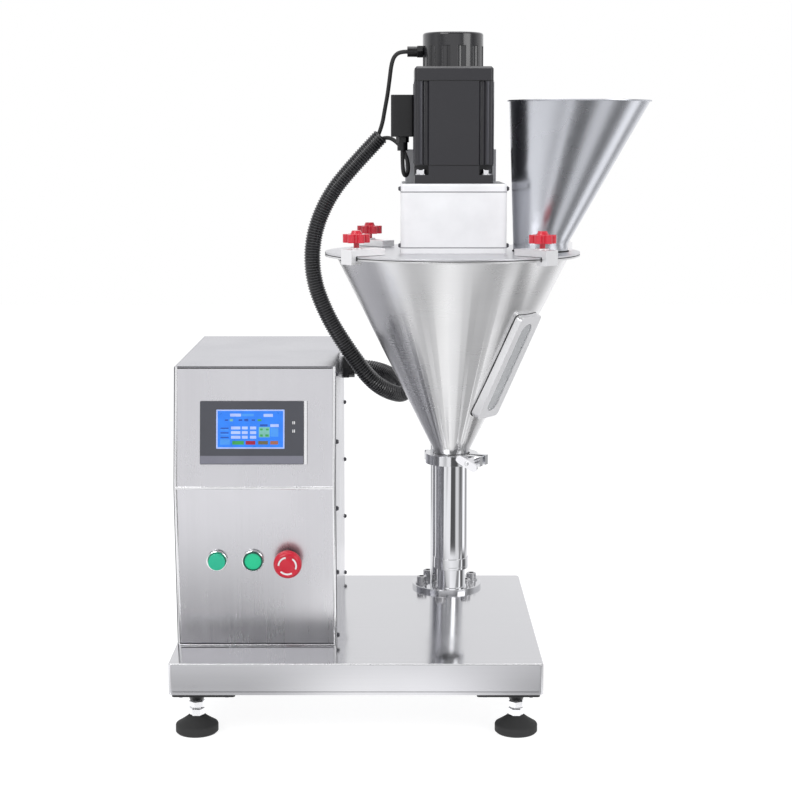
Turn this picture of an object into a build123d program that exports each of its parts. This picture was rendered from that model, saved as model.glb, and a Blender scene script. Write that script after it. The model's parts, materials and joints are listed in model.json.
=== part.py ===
from math import acos, atan2, cos, degrees, pi, radians, sin, tan
import os

from build123d import *

os.makedirs("parts", exist_ok=True)

# Tabletop auger powder filler. Millimetres, +Z up.
# The origin lies on the table, under the middle of the machine's outline.

# Overall layout, measured from the left front corner of the base
base_w, base_d, base_h = 520.0, 480.0, 40.0
base_sheet = 3.0
foot_h = 69.0
axis_from_left, head_reach = 398.0, 218.0
column_from_back = 62.0
spout_reach = 288.0

base_left = -(axis_from_left + spout_reach) / 2
base_front = -base_d / 2
base_back = base_front + base_d
deck_z = foot_h + base_h
axis_x = base_left + axis_from_left
column_y = base_back - column_from_back
axis_y = column_y - head_reach

# Clearances
seat_gap = 0.3
run_gap = 0.06
fit_gap = 0.02
overrun = 5.0

# Deck tray
tray_corner_r = 6.0
tray_edge_r = 1.5
tray_lip = 22.0

# Levelling feet
foot_from_side, foot_from_front = 35.0, 38.0
foot_plate_w, foot_plate_t, foot_plate_inset = 88.0, 4.0, 4.0
foot_boss_r, foot_boss_tip_r, foot_boss_h = 13.0, 11.0, 6.7
pad_r, pad_rim_h, pad_h, pad_neck_r = 30.0, 12.0, 39.0, 11.0
pad_edge_r = 2.0
stud_r, stud_neck_r = 8.0, 6.0
stud_hex_af = 24.0
stud_rise, stud_socket = 22.0, 14.0

# Column and its flange
column_r, column_wall, column_top = 27.0, 3.0, 712.0
flange_r, flange_t = 55.7, 6.0
flange_bolt_pcd, flange_bolt_count = 84.0, 6
flange_edge_r = 1.0
bolt_r, bolt_head_r, bolt_head_h = 5.0, 8.0, 10.0
bolt_washer_r, bolt_washer_t = 10.0, 2.0
bolt_socket_af, bolt_socket_depth = 8.0, 5.0

# Control cabinet, its side profile from the deck
cab_left_inset, cab_w, cab_h = 3.0, 228.0, 403.0
cab_bottom_y, cab_seam_y, cab_top_y, cab_from_back = 88.8, 67.5, 92.0, 15.0
cab_back_y = base_d - cab_from_back
cab_seam_z_share = 234.0 / 403.0
cab_seam_z = cab_h * cab_seam_z_share
cab_sheet = 1.5
panel_gap = 0.6
cab_left = base_left + cab_left_inset
cab_right = cab_left + cab_w
cab_x = (cab_left + cab_right) / 2

# Touch screen
screen_from_left, screen_up_share = 113.0, 311.0 / 403.0
screen_up = cab_h * screen_up_share
bezel_w, bezel_h, bezel_t, bezel_r, bezel_edge = 146.0, 89.0, 5.0, 4.0, 1.5
glass_w, glass_h, glass_t = 96.0, 55.0, 1.5
glass_shift_x, glass_shift_y = -2.0, 5.0
unit_w, unit_h, unit_depth = 130.0, 75.0, 34.0

# Push-buttons and the mushroom stop
button_from_left_shares = (59.0 / 228.0, 110.0 / 228.0, 160.0 / 228.0)
button_up = 128.0
ring_r, ring_h, ring_floor = 14.5, 6.0, 1.0
cap_r, cap_flush_h, cap_tall_h = 12.0, 1.7, 6.0
barrel_r, barrel_wall, barrel_depth = 11.1, 1.8, 24.0
block_w, block_depth = 29.0, 22.0
button_travel = 3.5
stop_r, stop_head_h, stop_lift, stop_collar_h = 20.0, 13.0, 13.0, 8.0
stop_ring_w, stop_ring_rise = 4.5, 1.2

# Hopper
lid_z, lid_r, lid_t = 559.0, 186.0, 2.5
gasket_t = 1.0
rim_t, cone_r, cone_wall = 2.5, 170.0, 2.0
cone_end_r, cone_end_z = 24.15, 259.5
ferrule_r, ferrule_t, ferrule_rise, ferrule_gap = 32.0, 3.2, 3.0, 0.8

# Auger tube and nozzle
tube_r, tube_wall = 24.15, 1.5
tube_low, tube_ring_top = 90.7, 103.0
tube_ring_r = 25.5
nozzle_r, nozzle_low, nozzle_bore_r = 21.0, 56.0, 17.0
nozzle_lip_r, nozzle_lip_h = 22.6, 3.0
nozzle_collar_h, nozzle_funnel_h = 4.0, 10.0

# Window in the cone
window_azimuth = 54.0
window_w, window_l, window_stand, window_r = 54.0, 170.0, 8.0, 7.0
window_slot_w, window_slot_l, window_up = 25.0, 146.0, 173.0
window_glass_t, window_glass_low = 4.0, 2.0
window_root = 16.0

# Hopper clamps
clamp_azimuths = (43.0, 114.0, 224.0, 309.0)
clamp_names = ("front_right", "rear_right", "rear_left", "front_left")
clamp_in_r, clamp_out_r, clamp_w = 135.0, 195.0, 24.0
clamp_bar_t, clamp_leg_t, clamp_lip_t, clamp_lip_in_r = 9.4, 8.0, 5.0, 177.0
clamp_screw_at = 177.0
clamp_screw_r, clamp_boss_r, clamp_boss_h = 4.0, 9.0, 2.0
press_pad_r, press_pad_t, press_pocket_r, press_lift = 7.0, 2.0, 7.6, 3.3
press_pocket_h = press_pad_t + press_lift + seat_gap
knob_lobe_r, knob_lobe_at, knob_core_r, knob_lobes = 5.4, 13.6, 13.0, 6
knob_h, knob_hub_r, knob_hub_h, knob_lift = 12.0, 8.5, 5.0, 7.0
knob_hub_taper = 25.0

# Feed hopper
feed_at, feed_neck_r, feed_wall = 129.0, 40.0, 1.5
feed_spigot_r, feed_spigot_l = 37.3, 8.0
feed_neck_h = 10.0
feed_top_z, feed_top_left, feed_half_depth = 777.7, 79.0, 82.0
feed_seal_t = 1.5
feed_rim_t, feed_rim_w = 2.0, 3.0

# Drive housing
house_w, house_front, house_back = 151.0, 63.0, 90.0
house_wall, house_base_t, house_top_t, house_h = 6.0, 8.7, 12.0, 100.0
house_corner_r = 7.0

# Gear train
gear_module, pressure_angle, gear_backlash = 1.25, 20.0, 0.3
pinion_teeth, wheel_teeth, second_teeth, sleeve_teeth = 18, 54, 24, 48
gear_face = 12.0
dedendum_share = 1.25
lower_mesh_z, upper_mesh_z = 577.0, 600.0
lay_r, lay_hub_r = 7.0, 11.0
bearing_w, bearing_outer_r = 7.0, 16.0
sleeve_bearing_r = 27.0

# Auger, agitator and motor shaft
shaft_r, sleeve_r = 8.0, 18.0
flight_gap, flight_t, flight_pitch = 0.5, 2.5, 36.0
auger_low, flight_top = 96.0, 262.0
auger_tip_h, auger_tip_taper = 4.0, 45.0
sleeve_low = 520.0
blade_gap, blade_w, blade_t = 8.0, 16.0, 4.0
blade_low, blade_high, blade_hub_h = 318.0, 536.0, 16.0
blade_hub_r = 13.0
motor_shaft_r, coupling_r, coupling_web = 9.5, 17.0, 12.0
shaft_top = 626.0

# Motor
motor_w, motor_flange_t, motor_step_z, motor_seam_z, motor_top_z = 112.0, 12.0, 684.0, 804.0, 824.0
motor_pocket, motor_corner_r, motor_groove_r, motor_groove_at = 20.0, 5.0, 4.5, 40.0
motor_edge = 3.0
motor_cap_r, motor_cap_flute_z, motor_cap_top_z, motor_cap_round = 43.7, 854.0, 873.4, 3.5
motor_flute_count, motor_flute_r, motor_flute_depth, motor_flute_start = 12, 10.0, 2.5, 15.0
motor_bolt_at = 46.0
motor_bolt_head_r, motor_bolt_head_h = 6.5, 8.0
terminal_w, terminal_d, terminal_low, terminal_high = 33.7, 50.0, 725.0, 785.0
terminal_r = 4.0

# Cable glands
gland_r, gland_l, gland_nut_r, gland_nut_l = 7.5, 20.0, 9.5, 8.0
cap_gland_z, cap_gland_reach = 847.0, 66.0
box_gland_from_back, box_gland_drop = 33.0, 46.0
box_gland_y, box_gland_z = cab_back_y - box_gland_from_back, cab_h - box_gland_drop
box_gland_r, box_gland_nut_r, box_gland_nut_l, box_gland_l = 17.0, 19.0, 9.0, 18.0

# Head bracket and column clamp
bracket_w, bracket_t, bracket_low, bracket_high = 137.0, 12.0, 562.0, 707.0
arm_gap, arm_t, arm_low, arm_high = 56.0, 12.0, 602.0, 690.0
yoke_w, yoke_d, yoke_low, yoke_high = 90.0, 78.0, 592.0, 700.0
yoke_slot = 4.0

# Band clamp between cone and tube
band_r, band_inner_r, band_groove_r, band_h = 39.0, 27.0, 32.6, 14.4
band_split, band_azimuth = 8.0, 60.0
band_ear_out, band_ear_t = 54.0, 9.0
band_pin_r, band_bolt_r, band_bolt_l = 4.0, 3.0, 50.0
wing_span, wing_h, wing_t, wing_hub_r, wing_hub_h = 18.0, 12.0, 4.0, 6.5, 22.0
wing_tilt = 25.0

# Cabinet contents
drive_w, drive_h_share, drive_d = 60.0, 17.0 / 30.0, 150.0
fin_count, fin_t, fin_d = 8, 2.0, 14.0
plate_w, plate_h, plate_t, plate_stand = 190.0, 300.0, 2.0, 12.0
rail_w, rail_t = 35.0, 7.5
supply_w, supply_h, supply_d = 98.0, 98.0, 38.0
relay_w, relay_h_share, relay_d, relay_count = 22.0, 7.0 / 30.0, 60.0, 3
drive_h, relay_h = plate_h * drive_h_share, plate_h * relay_h_share

# Screws on the cabinet and housing
screw_r, screw_h = 3.5, 1.5
side_screw_inset = 12.0
side_screws = 5

# Hoses: the corrugated conduit and two motor cables
conduit_r, cable_r = 12.5, 3.0
bend_share = 0.45


def export(piece, name):
    """Label a finished piece and write it as its own file."""
    piece.part.label = name
    export_step(piece.part, f"parts/{name}.step")


def up(height):
    """World height of a level measured from the deck."""
    return deck_z + height


def radial(azimuth, r, z):
    """Point at an azimuth from the front, turning towards +X, around the auger axis."""
    a = radians(azimuth)
    return (axis_x + r * sin(a), axis_y - r * cos(a), z)


def cone_at(z):
    """Outer radius of the hopper cone at a height above the deck."""
    top = lid_z - lid_t - gasket_t - rim_t
    return cone_end_r + (cone_r - cone_end_r) * (z - cone_end_z) / (top - cone_end_z)


# Base tray, open underneath, with turned-in lips
with BuildPart() as tray:
    with BuildSketch(Plane.XY.offset(foot_h)):
        with Locations((base_left + base_w / 2, 0)):
            RectangleRounded(base_w, base_d, tray_corner_r)
    extrude(amount=base_h)
    fillet(tray.faces().sort_by(Axis.Z)[-1].edges(), tray_edge_r)
    with BuildSketch(Plane.XY.offset(foot_h + base_sheet)):
        with Locations((base_left + base_w / 2, 0)):
            RectangleRounded(base_w - 2 * base_sheet, base_d - 2 * base_sheet, tray_corner_r - base_sheet)
    extrude(amount=base_h - 2 * base_sheet, mode=Mode.SUBTRACT)
    with BuildSketch(Plane.XY.offset(foot_h)):
        with Locations((base_left + base_w / 2, 0)):
            Rectangle(base_w - 2 * tray_lip, base_d - 2 * tray_lip)
    extrude(amount=base_sheet, mode=Mode.SUBTRACT)
    with Locations((axis_x, column_y, deck_z)):
        with PolarLocations(flange_bolt_pcd / 2, flange_bolt_count, start_angle=90 / flange_bolt_count):
            Hole(bolt_r + seat_gap, depth=base_sheet + overrun)
export(tray, "base_tray")

# Places of the four feet and of their plates
foot_xs = (base_left + foot_from_side, base_left + base_w - foot_from_side)
foot_ys = (base_front + foot_from_front, base_back - foot_from_front)
plate_xs = (base_left + foot_plate_inset + foot_plate_w / 2,
            base_left + base_w - foot_plate_inset - foot_plate_w / 2)
plate_ys = (base_front + foot_plate_inset + foot_plate_w / 2,
            base_back - foot_plate_inset - foot_plate_w / 2)
foot_places = [(x, y) for y in foot_ys for x in foot_xs]
plate_places = [(x, y) for y in plate_ys for x in plate_xs]
foot_names = ("front_left", "front_right", "rear_left", "rear_right")

# Corner plates with a threaded boss for each foot
with BuildPart() as foot_plates:
    with BuildSketch(Plane.XY.offset(foot_h - foot_plate_t)):
        with Locations(*plate_places):
            RectangleRounded(foot_plate_w, foot_plate_w, foot_plate_inset)
    extrude(amount=foot_plate_t)
    for place in foot_places:
        with BuildSketch(Plane.XY.offset(foot_h - foot_plate_t)):
            with Locations(place):
                Circle(foot_boss_r)
        extrude(amount=-foot_boss_h, taper=degrees(atan2(foot_boss_r - foot_boss_tip_r, foot_boss_h)))
    with BuildSketch(Plane.XY.offset(foot_h - foot_plate_t - foot_boss_h)):
        with Locations(*foot_places):
            Circle(stud_r + run_gap)
    extrude(amount=foot_plate_t + foot_boss_h, mode=Mode.SUBTRACT)
export(foot_plates, "foot_plates")

# Levelling feet: a domed pad with a socket, and a hexagon stud in it
stud_hex_low = pad_h
stud_hex_high = foot_h - foot_plate_t - foot_boss_h
for foot_name, (foot_x, foot_y) in zip(foot_names, foot_places):
    foot_plane = Plane((foot_x, foot_y, 0), x_dir=(1, 0, 0), z_dir=(0, -1, 0))
    with BuildPart() as foot:
        with BuildSketch(foot_plane):
            with BuildLine():
                Polyline((stud_neck_r + run_gap, pad_h), (stud_neck_r + run_gap, pad_h - stud_socket),
                         (0, pad_h - stud_socket), (0, 0), (pad_r - pad_edge_r, 0),
                         (pad_r, pad_edge_r), (pad_r, pad_rim_h))
                RadiusArc((pad_r, pad_rim_h), (pad_neck_r, pad_h), -2 * pad_h)
                Line((pad_neck_r, pad_h), (stud_neck_r + run_gap, pad_h))
            make_face()
        revolve(axis=Axis((foot_x, foot_y, 0), (0, 0, 1)))
        with BuildSketch(Plane.XY.offset(pad_h - stud_socket)):
            with Locations((foot_x, foot_y)):
                Circle(stud_neck_r)
        extrude(amount=stud_socket)
        with BuildSketch(Plane.XY.offset(stud_hex_low)):
            with Locations((foot_x, foot_y)):
                RegularPolygon(stud_hex_af / 2, 6, major_radius=False)
        extrude(amount=stud_hex_high - stud_hex_low)
        with BuildSketch(Plane.XY.offset(stud_hex_high)):
            with Locations((foot_x, foot_y)):
                Circle(stud_r)
        extrude(amount=foot_h + stud_rise - stud_hex_high)
    export(foot, f"foot_{foot_name}")

# Column, a plain pipe standing in its flange
with BuildPart() as column:
    with BuildSketch(Plane.XY.offset(deck_z + flange_t)):
        with Locations((axis_x, column_y)):
            Circle(column_r)
            Circle(column_r - column_wall, mode=Mode.SUBTRACT)
    extrude(amount=column_top - flange_t)
export(column, "column")

with BuildPart() as flange:
    with BuildSketch(Plane.XY.offset(deck_z)):
        with Locations((axis_x, column_y)):
            Circle(flange_r)
    extrude(amount=flange_t)
    fillet(flange.faces().sort_by(Axis.Z)[-1].edges(), flange_edge_r)
    with Locations((axis_x, column_y, deck_z + flange_t)):
        with PolarLocations(flange_bolt_pcd / 2, flange_bolt_count, start_angle=90 / flange_bolt_count):
            Hole(bolt_r + seat_gap, depth=flange_t)
export(flange, "column_flange")

# Cabinet planes: the panels lean from the seam, both with their local y up the panel
upper_lean = atan2(cab_top_y - cab_seam_y, cab_h - cab_seam_z)
lower_lean = atan2(cab_bottom_y - cab_seam_y, cab_seam_z)
seam_point = (cab_x, base_front + cab_seam_y, up(cab_seam_z))
upper_plane = Plane(seam_point, x_dir=(1, 0, 0), z_dir=(0, -cos(upper_lean), sin(upper_lean)))
lower_plane = Plane(seam_point, x_dir=(1, 0, 0), z_dir=(0, -cos(lower_lean), -sin(lower_lean)))
upper_length = (cab_h - cab_seam_z) / cos(upper_lean)
lower_length = cab_seam_z / cos(lower_lean)
cab_profile = [(base_front + cab_bottom_y, up(0)), (base_front + cab_seam_y, up(cab_seam_z)),
               (base_front + cab_top_y, up(cab_h)), (base_front + cab_back_y, up(cab_h)),
               (base_front + cab_back_y, up(0))]
inner_w = cab_w - 2 * cab_sheet

# Cabinet shell: floor, back and top folded from one sheet
with BuildPart() as shell:
    with BuildSketch(Plane.YZ.offset(cab_left + cab_sheet)):
        with BuildLine():
            Polyline(*cab_profile, close=True)
        make_face()
        with BuildLine():
            Polyline((base_front + cab_seam_y - overrun, up(cab_sheet)),
                     (base_front + cab_seam_y - overrun, up(cab_h - cab_sheet)),
                     (base_front + cab_back_y - cab_sheet, up(cab_h - cab_sheet)),
                     (base_front + cab_back_y - cab_sheet, up(cab_sheet)), close=True)
        make_face(mode=Mode.SUBTRACT)
    extrude(amount=inner_w)
export(shell, "cabinet_shell")

# Cabinet side covers; the right one has the hose entry
for side_name, side_x in (("left", cab_left), ("right", cab_right - cab_sheet)):
    with BuildPart() as side:
        with BuildSketch(Plane.YZ.offset(side_x)):
            with BuildLine():
                Polyline(*cab_profile, close=True)
            make_face()
            if side_name == "right":
                with Locations((base_front + box_gland_y, up(box_gland_z))):
                    Circle(conduit_r + seat_gap, mode=Mode.SUBTRACT)
        extrude(amount=cab_sheet)
    export(side, f"cabinet_side_{side_name}")

# Front panels
screen_x = base_left + screen_from_left - cab_x
screen_y = (screen_up - cab_seam_z) / cos(upper_lean)
with BuildPart() as upper_panel:
    with BuildSketch(upper_plane.offset(-cab_sheet)):
        with Locations((0, (upper_length + panel_gap - 2 * cab_sheet) / 2)):
            Rectangle(inner_w, upper_length - panel_gap - 2 * cab_sheet)
        with Locations((screen_x, screen_y)):
            Rectangle(unit_w + 2 * seat_gap, unit_h + 2 * seat_gap, mode=Mode.SUBTRACT)
    extrude(amount=cab_sheet)
export(upper_panel, "upper_panel")

button_xs = [cab_left + share * cab_w - cab_x for share in button_from_left_shares]
button_y = -(cab_seam_z - button_up) / cos(lower_lean)
with BuildPart() as lower_panel:
    with BuildSketch(lower_plane.offset(-cab_sheet)):
        with Locations((0, -(lower_length + panel_gap - 2 * cab_sheet) / 2)):
            Rectangle(inner_w, lower_length - panel_gap - 2 * cab_sheet)
        with Locations(*[(x, button_y) for x in button_xs]):
            Circle(barrel_r + seat_gap / 2, mode=Mode.SUBTRACT)
    extrude(amount=cab_sheet)
export(lower_panel, "lower_panel")

# Touch screen: moulded bezel with its rear case, and the glass
glass_x, glass_y = screen_x + glass_shift_x, screen_y + glass_shift_y
with BuildPart() as bezel:
    with BuildSketch(upper_plane):
        with Locations((screen_x, screen_y)):
            RectangleRounded(bezel_w, bezel_h, bezel_r)
    extrude(amount=bezel_t)
    chamfer(bezel.faces().sort_by(Axis.Y)[0].edges(), bezel_edge)
    with BuildSketch(upper_plane):
        with Locations((screen_x, screen_y)):
            Rectangle(unit_w, unit_h)
    extrude(amount=-unit_depth)
    with BuildSketch(upper_plane.offset(bezel_t)):
        with Locations((glass_x, glass_y)):
            Rectangle(glass_w + seat_gap, glass_h + seat_gap)
    extrude(amount=-glass_t, mode=Mode.SUBTRACT)
export(bezel, "screen_bezel")

with BuildPart() as glass:
    with BuildSketch(upper_plane.offset(bezel_t - glass_t)):
        with Locations((glass_x, glass_y)):
            Rectangle(glass_w, glass_h)
    extrude(amount=glass_t - seat_gap)
export(glass, "screen_glass")

# Switch bodies: front ring, threaded barrel and contact block of each switch
with BuildPart() as switches:
    for button_x in button_xs:
        is_stop = button_x == button_xs[-1]
        rim_h = stop_collar_h if is_stop else ring_h
        rim_in_r = barrel_r - barrel_wall if is_stop else cap_r + seat_gap
        with BuildSketch(lower_plane):
            with Locations((button_x, button_y)):
                Circle(ring_r)
        extrude(amount=rim_h)
        with BuildSketch(lower_plane.offset(ring_floor)):
            with Locations((button_x, button_y)):
                Circle(rim_in_r)
        extrude(amount=rim_h, mode=Mode.SUBTRACT)
        with BuildSketch(lower_plane):
            with Locations((button_x, button_y)):
                Circle(barrel_r)
        extrude(amount=-barrel_depth)
        with BuildSketch(lower_plane.offset(ring_floor)):
            with Locations((button_x, button_y)):
                Circle(barrel_r - barrel_wall)
        extrude(amount=-barrel_depth - ring_floor, mode=Mode.SUBTRACT)
        with BuildSketch(lower_plane.offset(-barrel_depth)):
            with Locations((button_x, button_y)):
                Rectangle(block_w, block_w)
        extrude(amount=-block_depth)
export(switches, "switch_bodies")

stem_r = barrel_r - barrel_wall - seat_gap
cap_low = ring_floor + button_travel + seat_gap
for cap_name, button_x, cap_h in (("start_button", button_xs[1], cap_flush_h),
                                  ("stop_button", button_xs[0], cap_tall_h)):
    with BuildPart() as cap:
        with BuildSketch(lower_plane.offset(cap_low)):
            with Locations((button_x, button_y)):
                Circle(cap_r)
        extrude(amount=cap_h)
        fillet(cap.faces().sort_by(Axis.Y)[0].edges(), cap_flush_h / 3)
        with BuildSketch(lower_plane.offset(cap_low)):
            with Locations((button_x, button_y)):
                Circle(stem_r)
        extrude(amount=-cap_low - barrel_depth / 2)
    export(cap, cap_name)

# Emergency stop: plunger in the barrel, and the mushroom head that also twists
with BuildPart() as plunger:
    with BuildSketch(lower_plane.offset(stop_lift)):
        with Locations((button_xs[2], button_y)):
            Circle(stem_r)
    extrude(amount=-stop_lift - barrel_depth / 2)
export(plunger, "stop_plunger")

with BuildPart() as mushroom:
    with BuildSketch(lower_plane.offset(stop_lift)):
        with Locations((button_xs[2], button_y)):
            Circle(stop_r)
    extrude(amount=stop_head_h)
    fillet(mushroom.faces().sort_by(Axis.Y)[0].edges(), stop_head_h / 3)
    with BuildSketch(lower_plane.offset(stop_lift + stop_head_h)):
        with Locations((button_xs[2], button_y)):
            Circle(stop_r - stop_ring_w)
            Circle(stop_r - 2 * stop_ring_w, mode=Mode.SUBTRACT)
    extrude(amount=-stop_ring_rise, mode=Mode.SUBTRACT)
export(mushroom, "stop_mushroom")

# Cabinet contents: mounting plate with rail, supply and relays, and the servo drive
plate_front_y = base_front + cab_back_y - cab_sheet - plate_stand - plate_t
plate_z = up(cab_h / 2)
with BuildPart() as control_plate:
    with BuildSketch(Plane((cab_x, plate_front_y + plate_t, plate_z), x_dir=(1, 0, 0), z_dir=(0, -1, 0))):
        Rectangle(plate_w, plate_h)
    extrude(amount=plate_t)
    with BuildSketch(Plane((cab_x, plate_front_y + plate_t, plate_z), x_dir=(1, 0, 0), z_dir=(0, 1, 0))):
        with GridLocations(plate_w - rail_w, plate_h - rail_w, 2, 2):
            Circle(screw_r)
    extrude(amount=plate_stand)
    with BuildSketch(Plane((cab_x, plate_front_y, plate_z), x_dir=(1, 0, 0), z_dir=(0, -1, 0))):
        with Locations((0, -plate_h / 4)):
            Rectangle(plate_w - rail_w, rail_w)
    extrude(amount=rail_t)
    with BuildSketch(Plane((cab_x, plate_front_y - rail_t, plate_z), x_dir=(1, 0, 0), z_dir=(0, -1, 0))):
        with Locations(*[(-plate_w / 3 + i * (relay_w + seat_gap), -plate_h / 4) for i in range(relay_count)]):
            Rectangle(relay_w, relay_h)
    extrude(amount=relay_d)
    with BuildSketch(Plane((cab_x, plate_front_y, plate_z), x_dir=(1, 0, 0), z_dir=(0, -1, 0))):
        with Locations((plate_w / 2 - supply_w / 2, plate_h / 2 - supply_h / 2)):
            Rectangle(supply_w, supply_h)
    extrude(amount=supply_d)
export(control_plate, "control_plate")

with BuildPart() as servo_drive:
    with BuildSketch(Plane((cab_x, plate_front_y, plate_z), x_dir=(1, 0, 0), z_dir=(0, -1, 0))):
        with Locations((-plate_w / 2 + drive_w / 2, plate_h / 2 - drive_h / 2)):
            Rectangle(drive_w, drive_h)
    extrude(amount=drive_d)
    with BuildSketch(Plane((cab_x, plate_front_y, plate_z), x_dir=(1, 0, 0), z_dir=(0, -1, 0))):
        with Locations((-plate_w / 2 + drive_w - fin_d / 2, plate_h / 2 - drive_h / 2)):
            with GridLocations(fin_d, drive_h / fin_count, 1, fin_count):
                Rectangle(fin_d, drive_h / fin_count - fin_t)
    extrude(amount=drive_d, mode=Mode.SUBTRACT)
export(servo_drive, "servo_drive")

# Hopper: cone, rim flange and bottom ferrule, with a slot under the window
rim_low = lid_z - lid_t - gasket_t - rim_t
cone_half_angle = atan2(cone_r - cone_end_r, rim_low - cone_end_z)
wall_r = cone_wall / cos(cone_half_angle)
tube_bore_r = tube_r - tube_wall
neck_z = cone_end_z + (tube_bore_r - cone_end_r + wall_r) / tan(cone_half_angle)
section = Plane((axis_x, axis_y, 0), x_dir=(1, 0, 0), z_dir=(0, -1, 0))
auger_axis = Axis((axis_x, axis_y, 0), (0, 0, 1))
ferrule_face_z = cone_end_z - ferrule_rise - ferrule_t
window_dir = radians(window_azimuth)
window_mid_z = rim_low - window_up * cos(cone_half_angle)
window_normal = (sin(window_dir) * cos(cone_half_angle), -cos(window_dir) * cos(cone_half_angle),
                 -sin(cone_half_angle))
window_plane = Plane(radial(window_azimuth, cone_at(window_mid_z), up(window_mid_z)),
                     x_dir=(cos(window_dir), sin(window_dir), 0), z_dir=window_normal)
with BuildPart() as hopper:
    with BuildSketch(section):
        with BuildLine():
            Polyline((tube_bore_r, up(ferrule_face_z)), (ferrule_r, up(ferrule_face_z)),
                     (ferrule_r, up(ferrule_face_z + ferrule_t / 2)),
                     (cone_end_r, up(ferrule_face_z + ferrule_t)), (cone_end_r, up(cone_end_z)),
                     (cone_r, up(rim_low)), (lid_r, up(rim_low)), (lid_r, up(rim_low + rim_t)),
                     (cone_r - wall_r, up(rim_low + rim_t)), (cone_r - wall_r, up(rim_low)),
                     (tube_bore_r, up(neck_z)), close=True)
        make_face()
    revolve(axis=auger_axis)
    with BuildSketch(window_plane.offset(-window_root)):
        SlotOverall(window_slot_l, window_slot_w, rotation=90)
    extrude(amount=2 * window_root, mode=Mode.SUBTRACT)
export(hopper, "hopper")

# Window frame, a raised surround trimmed to the cone, and its glass
with BuildPart() as window_frame:
    with BuildSketch(window_plane.offset(-window_root)):
        RectangleRounded(window_w, window_l, window_r)
        SlotOverall(window_slot_l, window_slot_w, rotation=90, mode=Mode.SUBTRACT)
    extrude(amount=window_root + window_stand)
    with BuildSketch(section):
        with BuildLine():
            Polyline((0, up(cone_end_z)), (cone_end_r + fit_gap, up(cone_end_z)),
                     (cone_r + fit_gap, up(rim_low)), (0, up(rim_low)), close=True)
        make_face()
    revolve(axis=auger_axis, mode=Mode.SUBTRACT)
export(window_frame, "window_frame")

with BuildPart() as window_glass:
    with BuildSketch(window_plane.offset(window_glass_low)):
        SlotOverall(window_slot_l - seat_gap, window_slot_w - seat_gap, rotation=90)
    extrude(amount=window_glass_t)
export(window_glass, "window_glass")

# Lid with the agitator hole and the feed hole
feed_x = axis_x + feed_at
with BuildPart() as lid:
    with BuildSketch(Plane.XY.offset(up(lid_z - lid_t))):
        with Locations((axis_x, axis_y)):
            Circle(lid_r)
            Circle(sleeve_r + seat_gap, mode=Mode.SUBTRACT)
        with Locations((feed_x, axis_y)):
            Circle(feed_spigot_r + seat_gap, mode=Mode.SUBTRACT)
    extrude(amount=lid_t)
export(lid, "lid")

# Seals: lid ring, feed collar ring and the ferrule ring
with BuildPart() as seals:
    with BuildSketch(Plane.XY.offset(up(rim_low + rim_t))):
        with Locations((axis_x, axis_y)):
            Circle(lid_r - seat_gap)
            Circle(cone_r - wall_r, mode=Mode.SUBTRACT)
    extrude(amount=gasket_t)
    with BuildSketch(Plane.XY.offset(up(lid_z))):
        with Locations((feed_x, axis_y)):
            Circle(feed_neck_r + feed_seal_t)
            Circle(feed_spigot_r + seat_gap, mode=Mode.SUBTRACT)
    extrude(amount=feed_seal_t)
    with BuildSketch(Plane.XY.offset(up(ferrule_face_z - ferrule_gap))):
        with Locations((axis_x, axis_y)):
            Circle(ferrule_r - seat_gap)
            Circle(tube_r, mode=Mode.SUBTRACT)
    extrude(amount=ferrule_gap)
export(seals, "seals")

# Auger tube with its top ferrule and bottom ring
tube_top = ferrule_face_z - ferrule_gap
with BuildPart() as tube:
    with BuildSketch(section):
        with BuildLine():
            Polyline((tube_bore_r, up(tube_low)), (tube_ring_r, up(tube_low)),
                     (tube_ring_r, up(tube_ring_top)), (tube_r, up(tube_ring_top)),
                     (tube_r, up(tube_top - ferrule_t)), (ferrule_r, up(tube_top - ferrule_t / 2)),
                     (ferrule_r, up(tube_top)), (tube_bore_r, up(tube_top)), close=True)
        make_face()
    revolve(axis=auger_axis)
export(tube, "auger_tube")

# Outlet nozzle: collar under the tube, funnel bore and a lip
with BuildPart() as nozzle:
    with BuildSketch(section):
        with BuildLine():
            Polyline((nozzle_bore_r, up(nozzle_low)), (nozzle_lip_r, up(nozzle_low)),
                     (nozzle_lip_r, up(nozzle_low + nozzle_lip_h)), (nozzle_r, up(nozzle_low + nozzle_lip_h)),
                     (nozzle_r, up(tube_low - nozzle_collar_h)), (tube_ring_r, up(tube_low - nozzle_collar_h)),
                     (tube_ring_r, up(tube_low)), (tube_bore_r, up(tube_low)),
                     (nozzle_bore_r, up(tube_low - nozzle_funnel_h)), close=True)
        make_face()
    revolve(axis=auger_axis)
export(nozzle, "nozzle")

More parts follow.
